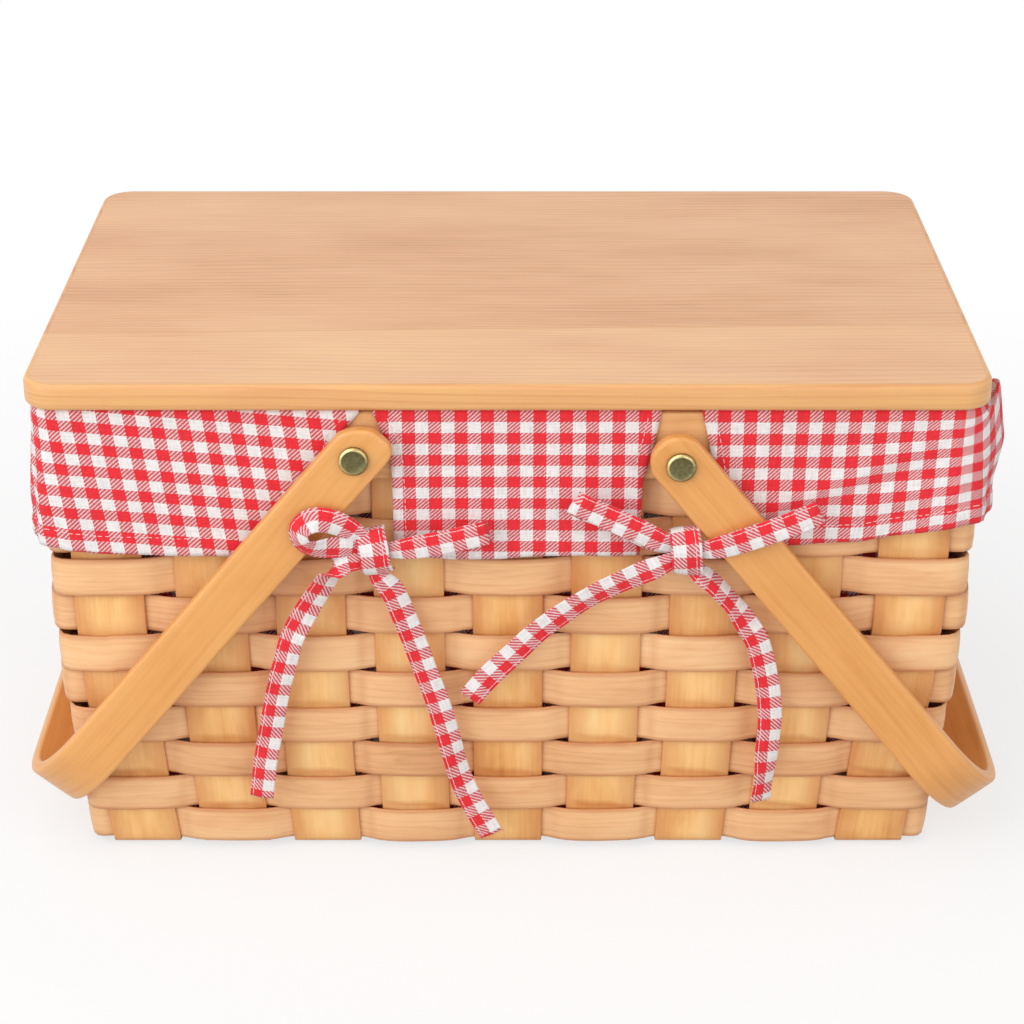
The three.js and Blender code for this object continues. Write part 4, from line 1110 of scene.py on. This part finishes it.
def liner_bag():
    rings, places, down = [], [], 0.0
    # Offset from the middle of the splints, height, corner radius and depth of the ripples
    levels = [(LIP_OUT, LIP_Z, 8, 0), (-0.5, LIP_Z + 0.1, 7, 0), (-3, LIP_Z + 0.1, 5, 0), (-5, LIP_Z, 5, 0),
              (-6, LIP_Z - 0.6, 6, 0), (-6.6, LIP_Z - 2, 7, 0), (BAG_OFFSET, LIP_Z - 5, BAG_CORNER, 0.3)]
    levels += [(BAG_OFFSET, z, BAG_CORNER, 1.6) for z in range(205, 10, -7)]
    levels += [(BAG_OFFSET - 0.8, 8.0, 10, 1.0), (BAG_OFFSET - 3, 5.8, 9, 0.4)]
    previous = None
    for offset, z, radius, sag in levels:
        ring, length = bag_ring(offset, z, radius, sag)
        if previous:
            down += math.hypot(offset - previous[0], z - previous[1])
        previous = (offset, z)
        rings.append(ring)
        places.append([(length * i / BAG_SAMPLES, down) for i in range(BAG_SAMPLES + 1)])
    skin = Skin()
    index = skin.grid(rings, places, loop_columns=True)
    # The floor, drawn in by steps to the middle
    joined = [index[-1]]
    for scale in (0.93, 0.82, 0.66, 0.48, 0.3, 0.13):
        spots = [(p.x * scale, p.y * scale) for p in rings[-1]]
        joined.append([skin.point((x, y, BAG_FLOOR + 0.5 + 0.45 * wobble(x * 0.03, y * 0.03, 3)))
                       for x, y in spots])
    for outer, inner in zip(joined, joined[1:]):
        skin.join(outer, inner, lambda p: (p.x, p.y))
    skin.face(joined[-1], [tuple(skin.points[k].xy) for k in joined[-1]])
    made = settle(skin.piece("cloth_liner_bag"), gingham, "gingham", "basket", "liner_bag")
    thicken(made)


liner_bag()


# Skirt: four flaps that hang from the lip. Distances round the rim start at the middle of the front and run
# to the right, on the surface of the cloth. A drop is measured down the cloth from the rim's outer edge.

SKIRT_OUT = 5.5  # offset of the hanging cloth from the middle of the wall's splints
SKIRT_CORNER = 11.5
SKIRT_X = HALF_LENGTH + SKIRT_OUT
SKIRT_Y = HALF_DEPTH + SKIRT_OUT
SKIRT_ROUND = ring_length(SKIRT_X, SKIRT_Y, SKIRT_CORNER)
OVER_RIM = 5.0  # how far in the cloth starts, on top of the rim
TURN = 2.2  # radius of the cloth's turn over the rim's edge
TURN_DROP = TURN * math.pi / 4
TOP_Z = 217.6
DROP = 64
HEM = 8
SIDE_HEM = 5
PUFF = 216  # where a puff of cloth stands up beside the lid's end, behind the right front corner
PUFF_WIDTH = 14

# Each edge of the front slits: its distance from the middle at a few drops. The slits narrow at the top.
SLIT_EDGES = {
    "left_flap": [(-5, -60), (0.5, -61), (6, -65.5), (11, -70), (18, -71.5), (25, -75), (40, -84),
                  (64, -92)],
    "centre_left": [(-5, -56.5), (0.5, -55.7), (12, -50.6), (23, -48.3), (39, -47.8), (64, -47.6)],
    "centre_right": [(-5, 64), (0.5, 63.4), (18, 59.7), (31, 56.2), (46, 55.7), (64, 55.6)],
    "right_flap": [(-5, 80), (0.5, 80.2), (11, 82.6), (25, 85.1), (64, 88)],
}
# The drop of the hem at distances from the front's middle: deep in the middle, shallow at the right corner
HEM_DROPS = [(-SKIRT_ROUND / 2, 64), (-240, 63), (-205, 60), (-188, 62), (-171, 64), (-117, 65.8),
             (-47, 64.5), (-24, 67), (-3, 66.6), (22, 65.3), (56, 65), (88, 61.5), (118, 60.5), (148, 58.8),
             (173, 53.5), (192, 49.5), (208, 49), (260, 55), (330, 60), (SKIRT_ROUND / 2, 64)]
FOLD_START = 88  # the right flap's slanting fold starts here, and is full where its drop is FOLD_DROP
FOLD_FULL = 112
FOLD_DROP = 46.5
FOLD_SLOPE = 0.46
RIGHT_FULLNESS = 4.8  # how far the cloth stands off the two end walls
LEFT_FULLNESS = 2.6


def read_off(stops, value):
    """A value between the two nearest stops."""
    for (start, low), (end, high) in zip(stops, stops[1:]):
        if value <= end:
            return mix(low, high, max(0.0, (value - start) / (end - start)))
    return stops[-1][1]


def from_middle(d):
    """The distance round the rim from the front's middle, minus to the left."""
    return (d + SKIRT_ROUND / 2) % SKIRT_ROUND - SKIRT_ROUND / 2


def skirt_drop(d):
    q = from_middle(d)
    return read_off(HEM_DROPS, q) + 0.8 * wobble(q * 0.018, 2.2, 4) + 0.5 * wobble(q * 0.06, 6.2, 4)


def bump_at(value, middle, width):
    """A round bump, 1 at its middle."""
    return math.exp(-((value - middle) / width) ** 2)


def slant_fold(q, drop):
    """How far below the slanting fold a place is, and how strong the fold is there."""
    below = drop - FOLD_DROP + FOLD_SLOPE * (q - FOLD_FULL)
    return below, smooth_step(q, FOLD_START, FOLD_FULL) * (1 - smooth_step(q, 165, 192))


def fold_depth(d, drop, end_share):
    """How far the cloth stands off the wall, growing downwards in soft folds."""
    q = from_middle(d)
    grown = smooth_step(drop, 1, 45)
    front = 0.9 + 0.8 * wobble(q * 0.022, 3.3, drop * 0.004) + 0.6 * wobble(q * 0.05, 8.1, drop * 0.01)
    ends = RIGHT_FULLNESS if q > 0 else LEFT_FULLNESS
    ends += 2.0 * wobble(q * 0.02, 5.5, drop * 0.004) + 1.1 * wobble(q * 0.06, 1.7, drop * 0.012)
    depth = max(0.0, mix(front, ends, end_share)) * grown
    # Upright pleats where the cloth goes round the front corners
    for corner in (-198, 198):
        depth += 1.1 * bump_at(q, corner, 16) * math.sin(q * 0.55 + drop * 0.03) * grown
    # The slanting fold: a ridge, a groove and a lower ridge
    below, strength = slant_fold(q, drop)
    ridges = 0.8 * bump_at(below, -5, 6) - 0.3 * bump_at(below, 4, 5) + 0.4 * bump_at(below, 13, 6)
    return depth + strength * ridges


def flap_point(d, drop):
    """A place on the skirt and the outward direction there, before the hem."""
    base, out = ring_place(d, SKIRT_X, SKIRT_Y, SKIRT_CORNER)
    end_share = smooth_step(abs(base.x), SKIRT_X - 40, SKIRT_X - 6)
    if drop < -TURN_DROP:
        offset, z = -TURN + (drop + TURN_DROP), TOP_Z
    elif drop < TURN_DROP:
        angle = (drop + TURN_DROP) / TURN
        offset, z = -TURN + TURN * math.sin(angle), TOP_Z - TURN * (1 - math.cos(angle))
    else:
        hang = drop - TURN_DROP
        offset, z = fold_depth(d, hang, end_share), TOP_Z - TURN - hang
        # The puff stands out, most at a drop of 17, and is pushed up beside the lid
        puff = bump_at(from_middle(d), PUFF, PUFF_WIDTH)
        bulge = 5.0 * smooth_step(hang, 0, 4) + 5.0 * bump_at(hang, 17, 11) - 2.5 * smooth_step(hang, 24, 40)
        offset += puff * bulge
        z += puff * 13.5 * bump_at(hang, 7.5, 4.4)
    return base + out * offset + UP * z, out


SPARE_START = -100  # where the table of spare cloth starts, and the drop at which the cloth is measured
SPARE_DROP = 35


def spare_cloth():
    """How much further round the cloth is than the rim, at each millimetre from SPARE_START on. It gains at
    the corners, where it stands off the wall."""
    table = [0.0]
    previous = flap_point(SPARE_START, SPARE_DROP)[0]
    for d in range(SPARE_START + 1, int(SKIRT_ROUND) + 3):
        point = flap_point(d, SPARE_DROP)[0]
        table.append(table[-1] + (point - previous).length - 1)
        previous = point
    return table


SPARE = spare_cloth()


def cloth_distance(d):
    """The distance along the cloth's threads for a distance round the rim."""
    place = d - SPARE_START
    return d + mix(SPARE[int(place)], SPARE[int(place) + 1], place % 1)


def hemmed_point(d, drop, left, right):
    """A place on a flap between its two side edges. The hem is folded twice, so it is thicker, with a groove
    along its stitches."""
    point, out = flap_point(d, drop)
    side = min(abs(d - left), abs(right - d))
    bottom = skirt_drop(d) - drop
    hem = max(1 - smooth_step(bottom, HEM - 0.5, HEM + 0.8),
              1 - smooth_step(side, SIDE_HEM - 0.5, SIDE_HEM + 0.8))
    groove = 1 - smooth_step(min(abs(bottom - HEM), abs(side - SIDE_HEM)), 0, 1.3)
    swell = hem * 0.45 - 0.25 * groove + 0.4 * hem * wobble(d * 0.25, drop * 0.2, 1)
    return point + out * swell * smooth_step(drop, 3, 10), out


STITCH = 2.1


def stitch(skin, start, end, out):
    """One stitch: a short thread that dips into the cloth at both ends."""
    along = end - start
    across = along.cross(out).normalized()
    rings = []
    for share, size in ((0, 0.3), (0.2, 1), (0.8, 1), (1, 0.3)):
        middle = start + along * share + out * (0.28 + 0.1 * size)
        ring = []
        for turn in (math.tau * k / 6 for k in range(6)):
            spot = middle + across * (0.18 * size * math.cos(turn))
            ring.append(spot + out * (0.13 * size * math.sin(turn)))
        rings.append([skin.point(spot) for spot in ring])
    for low, high in zip(rings, rings[1:]):
        skin.join(low, high)
    skin.cap(rings[0][::-1])
    skin.cap(rings[-1])


def flap_stitches(name, start, end):
    """White stitches along the hem and up both sides of a flap."""
    skin = Skin()
    left, right = start(DROP), end(DROP)
    d = left + SIDE_HEM
    while d < right - SIDE_HEM - STITCH:
        pair = [hemmed_point(q, skirt_drop(q) - HEM, left, right) for q in (d, d + STITCH)]
        stitch(skin, pair[0][0], pair[1][0], pair[0][1])
        d += STITCH_PITCH
    for edge, inward in ((start, 1), (end, -1)):
        drop = 3.0
        while drop < skirt_drop(edge(DROP)) - HEM:
            pair = [hemmed_point(edge(q) + inward * SIDE_HEM, q, start(q), end(q))
                    for q in (drop, drop + STITCH)]
            stitch(skin, pair[0][0], pair[1][0], pair[0][1])
            drop += STITCH_PITCH
    return settle(skin.piece("stitches_" + name), thread_white, "gingham", "basket")


COLUMN_WIDTH = 2.4
HANGING_ROWS = 34


def flap(name, start, end, thread_shift, anchor=0.0):
    """start and end give the flap's edges at a drop. thread_shift gives how far the threads are moved along
    and down at a place, which is how the checks lie askew. The threads are counted from anchor."""
    columns = max(12, int((end(DROP) - start(DROP)) / COLUMN_WIDTH))
    drops = [-OVER_RIM, -OVER_RIM + 1.5, -TURN, -TURN * 0.5, 0, TURN * 0.5, TURN]
    skin = Skin()
    rows, places = [], []
    for i in range(len(drops) + HANGING_ROWS):
        row, marks = [], []
        down = (i - len(drops) + 1) / HANGING_ROWS
        for j in range(columns + 1):
            guess = drops[i] if down <= 0 else TURN + (DROP - TURN) * down
            left, right = start(guess), end(guess)
            d = mix(left, right, j / columns)
            drop = drops[i] if down <= 0 else TURN + (skirt_drop(d) - TURN) * down
            row.append(hemmed_point(d, drop, left, right)[0])
            along, below = thread_shift(from_middle(d), drop)
            marks.append((anchor + cloth_distance(d) - cloth_distance(anchor) + along, drop + below))
        rows.append(row)
        places.append(marks)
    skin.grid(rows, places)
    made = settle(skin.piece("cloth_" + name), gingham, "gingham", "basket", name)
    thicken(made)
    stitches = flap_stitches(name, start, end)
    width, height = cloth_distance(end(DROP)) - cloth_distance(start(DROP)), DROP + OVER_RIM


# How much closer the rows of checks lie than the columns
STRAIGHT_CLOSER = 0.11
RIGHT_CLOSER = 0.06
LEFT_CLOSER = 0.12
HEM_ROW = 68.3  # how far down its cloth the right flap is hemmed
FOLD_TAKES = 4.2  # how much cloth the slanting fold takes up
COLUMN_LEAN = 0.14  # of the left flap's checks
ROW_FALL = 0.092


def straight(q, drop):
    """The front and rear flaps are square to the rim."""
    return 0.0, STRAIGHT_CLOSER * drop


def drawn_up(q, drop):
    """On the right flap a fold takes up cloth, so the rows below it are higher. Towards the corner, where
    the hem is drawn up most, the rows are drawn together instead, and the puff takes up the cloth."""
    below, _ = slant_fold(q, drop)
    hem = read_off(HEM_DROPS, q)
    folded = FOLD_TAKES * smooth_step(q, FOLD_START, FOLD_FULL) * smooth_step(below, -7, 7)
    taken_up = mix(drop / hem, smooth_step(drop, 0, 20), bump_at(q, PUFF, PUFF_WIDTH))
    gathered = (HEM_ROW - (1 + RIGHT_CLOSER) * hem) * taken_up
    raised = mix(folded, gathered, smooth_step(q, 130, 185))
    return 0.05 * drop * smooth_step(q, 90, 150), RIGHT_CLOSER * drop + raised


def askew(q, drop):
    """The left flap was sewn on a little crooked: columns lean 8 degrees, and rows fall to the right."""
    front = 1 - smooth_step(-q, 195, 240)
    return -COLUMN_LEAN * drop * front, -ROW_FALL * max(q, -215) + LEFT_CLOSER * drop


def front_edge(which, base=0.0):
    """A flap's edge beside a front slit, as a function of the drop."""
    return lambda drop: base + read_off(SLIT_EDGES[which], drop)


def rear_edge(which):
    """The same edge beside the rear slit."""
    return lambda drop: SKIRT_ROUND / 2 - read_off(SLIT_EDGES[which], drop)


flap("skirt_front", front_edge("centre_left"), front_edge("centre_right"), straight)
flap("skirt_right", front_edge("right_flap"), rear_edge("right_flap"), drawn_up)
flap("skirt_rear", rear_edge("centre_right"), rear_edge("centre_left"), straight)
flap("skirt_left", rear_edge("left_flap"), front_edge("left_flap", SKIRT_ROUND), askew, SKIRT_ROUND)


# Bows. Places are across and up from the middle of the knot, and out from it.

TIE_WIDTH = 10.5
TIE_THICKNESS = 1.4
KNOT_Y = -133.2
KNOT_WIDTH = 12.8
LOOP_START = 160  # how far along its tie a loop is cut from
TIE_SEEDS = {"a": 3, "b": 8}
PINCH = 0.62  # how narrow a tie is where it leaves the knot
LOOSE_THREADS = 11


def smooth_path(stations, step=2.0):
    """A Catmull-Rom curve through stations, which are lists of numbers, with points about a step apart."""
    path = []
    ends = [stations[0], *stations, stations[-1]]
    for i in range(1, len(ends) - 2):
        a, b, c, d = ends[i - 1:i + 3]
        span = math.dist(b[:3], c[:3])
        count = max(2, int(span / step))
        for k in range(count):
            t = k / count
            path.append([0.5 * (2 * q + (r - p) * t + (2 * p - 5 * q + 4 * r - s) * t * t
                                + (3 * q - p - 3 * r + s) * t ** 3) for p, q, r, s in zip(a, b, c, d)])
    path.append(list(stations[-1]))
    return path


def tie_section(width):
    """A flat sewn tube: thin at its sewn edges and a little full between them."""
    half, low = width / 2, TIE_THICKNESS / 2
    upper = [(-half, 0.0), (-half + 0.35, low * 0.75), (-half + 1.2, low * 0.5), (-half + 2.2, low * 0.95),
             (-1.5, low * 1.25), (1.5, low * 1.25), (half - 2.2, low * 0.95), (half - 1.2, low * 0.5),
             (half - 0.35, low * 0.75), (half, 0.0)]
    return upper + [(a, -n) for a, n in upper[-2:0:-1]]


def fray(skin, station, seed):
    """Loose threads at a cut end."""
    chance = random.Random(seed)
    point, across, out = station
    along = across.cross(out) * -1
    for k in range(LOOSE_THREADS):
        root = point + across * mix(-0.47, 0.47, k / (LOOSE_THREADS - 1)) * TIE_WIDTH
        tip = root + along * chance.uniform(0.9, 2.8) + across * chance.uniform(-0.9, 0.9)
        tip += out * chance.uniform(-0.5, 0.6)
        place = (chance.uniform(0, CHECK), chance.uniform(0, CHECK))
        foot = [skin.point(root - along * 0.4 + across * (0.22 * math.cos(t)) + out * (0.22 * math.sin(t)))
                for t in (0, math.tau / 3, math.tau * 2 / 3)]
        head = skin.point(tip)
        for i in range(3):
            skin.face([foot[i], foot[(i + 1) % 3], head], [place] * 3)
        skin.face(foot[::-1], [place] * 3)


def ribbon(skin, knot, places, face, start, seed, width=None, cut=False):
    """places are across, up, out, the angle of the width in the plane of the wall, and its tilt outwards.
    Returns the ribbon's length."""
    path = smooth_path(places)
    steps = [math.dist(a[:3], b[:3]) for a, b in zip(path, path[1:])]
    points, wides = [], []
    for i, (x, z, out, angle, tilt) in enumerate(path):
        angle = math.radians(angle + 3 * wobble(i * 0.11, seed, 2))
        tilt = math.radians(tilt + 9 * wobble(i * 0.16, seed, 6))
        out += 0.3 * abs(wobble(i * 0.2, seed, 4))
        wides.append(Vector((math.cos(angle) * math.cos(tilt), -math.sin(tilt),
                             math.sin(angle) * math.cos(tilt))))
        points.append(Vector((knot.x + x, knot.y - out, knot.z + z)))
    stations = []
    for i, (point, across, out) in enumerate(stations_along(points, wides)):
        # Pinched narrow and full where it leaves the knot
        from_knot = sum(steps[:i]) if cut else min(sum(steps[:i]), sum(steps[i:]))
        pinch = 1.0 if width else mix(PINCH, 1.0, smooth_step(from_knot, 4, 20))
        stations.append((point, across * pinch, out * (2.2 - 1.2 * pinch)))
    if face == "rear":
        stations = [tuple(Vector((v.x, -v.y, v.z)) for v in station) for station in stations]
    swept(skin, stations, tie_section(width or TIE_WIDTH), start=start)
    if cut:
        point, across, out = stations[-1]
        away = point - stations[-2][0]
        fray(skin, (point, across if across.cross(out).dot(away) < 0 else -across, out), seed)
    return sum((b - a).length for a, b in zip(points, points[1:]))


# For each bow its knot, and for each of its ties the tail and the loop
BOWS = {
    "left": {
        "knot": (-56.0, 157.3),
        "a": [
            [(2, -1, 0.5, 250, 0), (-5.2, -3.3, 3.6, 262, 5), (-12.1, -4.2, 3.8, 255, 5),
             (-17.8, -9.3, 3, 225, 5), (-23.6, -18.9, 1.5, 212, 0), (-29.6, -29.4, 0, 208, -5),
             (-35.7, -41.9, -1, 206, -10), (-39.2, -54.3, -1.6, 198, 0), (-43, -69.2, -2, 194, 5),
             (-46.8, -88.8, -2.4, 190, 0), (-49.7, -104, -2.6, 188, -6), (-52, -121.5, -2.8, 186, -8)],
            [(2, 2.2, 1, 62, 0), (-9.5, 11.7, 4.6, 66, 5), (-17.5, 16.2, 6.4, 78, -12),
             (-24.5, 17.2, 7.6, 105, -28), (-30.3, 13.2, 8.4, 160, -38), (-29.4, 7.0, 8.2, 215, -36),
             (-24.6, 4.2, 7.2, 255, -24), (-16, 3.6, 5.2, 266, -6), (-8, 2.7, 3.2, 270, 0),
             (0, 0, 0.8, 272, 0)],
        ],
        "b": [
            [(-1, 0, 0.3, 170, 0), (1.8, -10.9, 1.4, 204, 0), (7.5, -19, 0.6, 206, 10),
             (12.1, -31.2, 0, 202, 12), (16.3, -43.8, -0.9, 198, 5), (20.5, -57.4, -1.4, 198, 0),
             (25.7, -73.4, -1.8, 196, 0), (29.9, -89.6, -2.2, 195, 18), (34.7, -109.5, -2.5, 196, 28),
             (40.1, -123.9, -2.7, 204, 5), (48.7, -140.7, -2.8, 207, 0)],
            [(-1, 0, 0.8, 99, 0), (11.5, 2, 3.6, 99, 0), (27.3, 5.2, 4.4, 98, -4),
             (42.1, 8.5, 4.2, 98, -6), (47.6, 9.6, 2.8, 98, 0), (42.5, 7.6, 1.3, 98, 6),
             (27.3, 3.6, 0.9, 98, 4), (11.5, 0.6, 0.9, 99, 0), (-1, -1, 0.2, 99, 0)],
        ],
        "wrap": [(2.4, -9.8, -1.0, 8, 0), (2.0, -8.8, 3.0, 8, 0), (1.0, -4.5, 5.9, 10, 6),
                 (0.2, 2.4, 6.2, 12, -4), (-1.0, 8.0, 4.0, 14, 0), (-1.6, 9.6, -0.6, 14, 0)],
    },
    "right": {
        "knot": (74.2, 157.3),
        "a": [
            [(2, 0, 0.5, 300, 0), (-5.7, -2.9, 4, 298, 0), (-12.1, -6.2, 3.8, 296, 0),
             (-22, -11.2, 2.8, 297, -5), (-34.1, -18.1, 1.4, 299, -10), (-44.9, -25.4, 0.2, 302, -12),
             (-60.5, -38.2, -1, 309, -5), (-71.1, -49.4, -1.6, 313, 0), (-81.8, -60.6, -1.8, 313, 5),
             (-90.5, -71.6, -2, 312, 0)],
            [(2, 1, 0.8, 62, 0), (-9.4, 5.5, 3.6, 64, 0), (-20.3, 11.1, 4.4, 65, -4),
             (-31.1, 16.3, 4.4, 65, -6), (-43.6, 22.4, 4.2, 65, -4), (-46.4, 23.2, 2.8, 65, 0),
             (-42.5, 19.6, 1.3, 65, 6), (-28, 12.6, 0.8, 66, 8), (-12, 4.4, 0.8, 65, 0),
             (2, -1, 0.2, 65, 0)],
        ],
        "b": [
            [(-2, 0, 0.3, 210, 0), (5.5, -9.5, 1, 218, 35), (11.5, -14.8, 0.4, 226, 48),
             (16.8, -20.8, 0, 222, 50), (22.2, -27.5, -0.6, 218, 45), (27.6, -36, -1, 210, 20),
             (32.4, -44.9, -1.3, 206, 10), (36.1, -59.1, -1.6, 194, 5), (38.3, -72, -2, 188, 0),
             (39.1, -83.6, -2.3, 182, 0), (38.6, -95.1, -2.4, 177, 12), (37.9, -108.4, -2.6, 176, 25),
             (36.7, -123.3, -2.8, 174, 30)],
            [(-2, 0, 1, 108, 0), (7.2, 1.8, 4, 107, 0), (17.7, 4.9, 6, 108, 0), (28.1, 9.2, 7.2, 109, -5),
             (40, 14, 7.4, 109, -8), (52.0, 19.2, 7, 110, -5), (54.6, 20, 5.6, 110, 0),
             (50.5, 17.4, 4.4, 110, 5), (38, 12, 4.1, 109, 4), (24, 6.4, 4, 108, 0),
             (10, 1.2, 2.4, 107, 0), (-2, -1, 0.4, 107, 0)],
        ],
        "wrap": [(1.6, -10.2, -1.0, -4, 0), (1.4, -9.2, 3.2, -3, 0), (0.8, -4.5, 6.1, 0, -5),
                 (0.4, 2.6, 6.4, 3, 4), (-0.4, 8.4, 4.2, 6, 0), (-0.8, 10.2, -0.6, 7, 0)],
    },
}


def tie(end, face, half):
    """Half of a bow: its tail and its loop, and for the second half the turn round the knot."""
    bow = BOWS[end]
    knot = Vector((bow["knot"][0], KNOT_Y, bow["knot"][1]))
    skin = Skin()
    seed = TIE_SEEDS[half] + 20 * (end == "right") + 5 * (face == "rear")
    tail, loop = bow[half]
    length = ribbon(skin, knot, tail, face, 2.6, seed, cut=True)
    length += ribbon(skin, knot, loop, face, LOOP_START, seed + 1)
    if half == "b":
        length += ribbon(skin, knot, bow["wrap"], face, 1.5, seed + 2, width=KNOT_WIDTH)
    name = f"tie_{face}_{end}_{half}"
    made = settle(skin.piece("cloth_" + name), gingham_tie, "gingham", "basket", name)


for end in ENDS:
    for face in FACES:
        for half in TIE_SEEDS:
            tie(end, face, half)
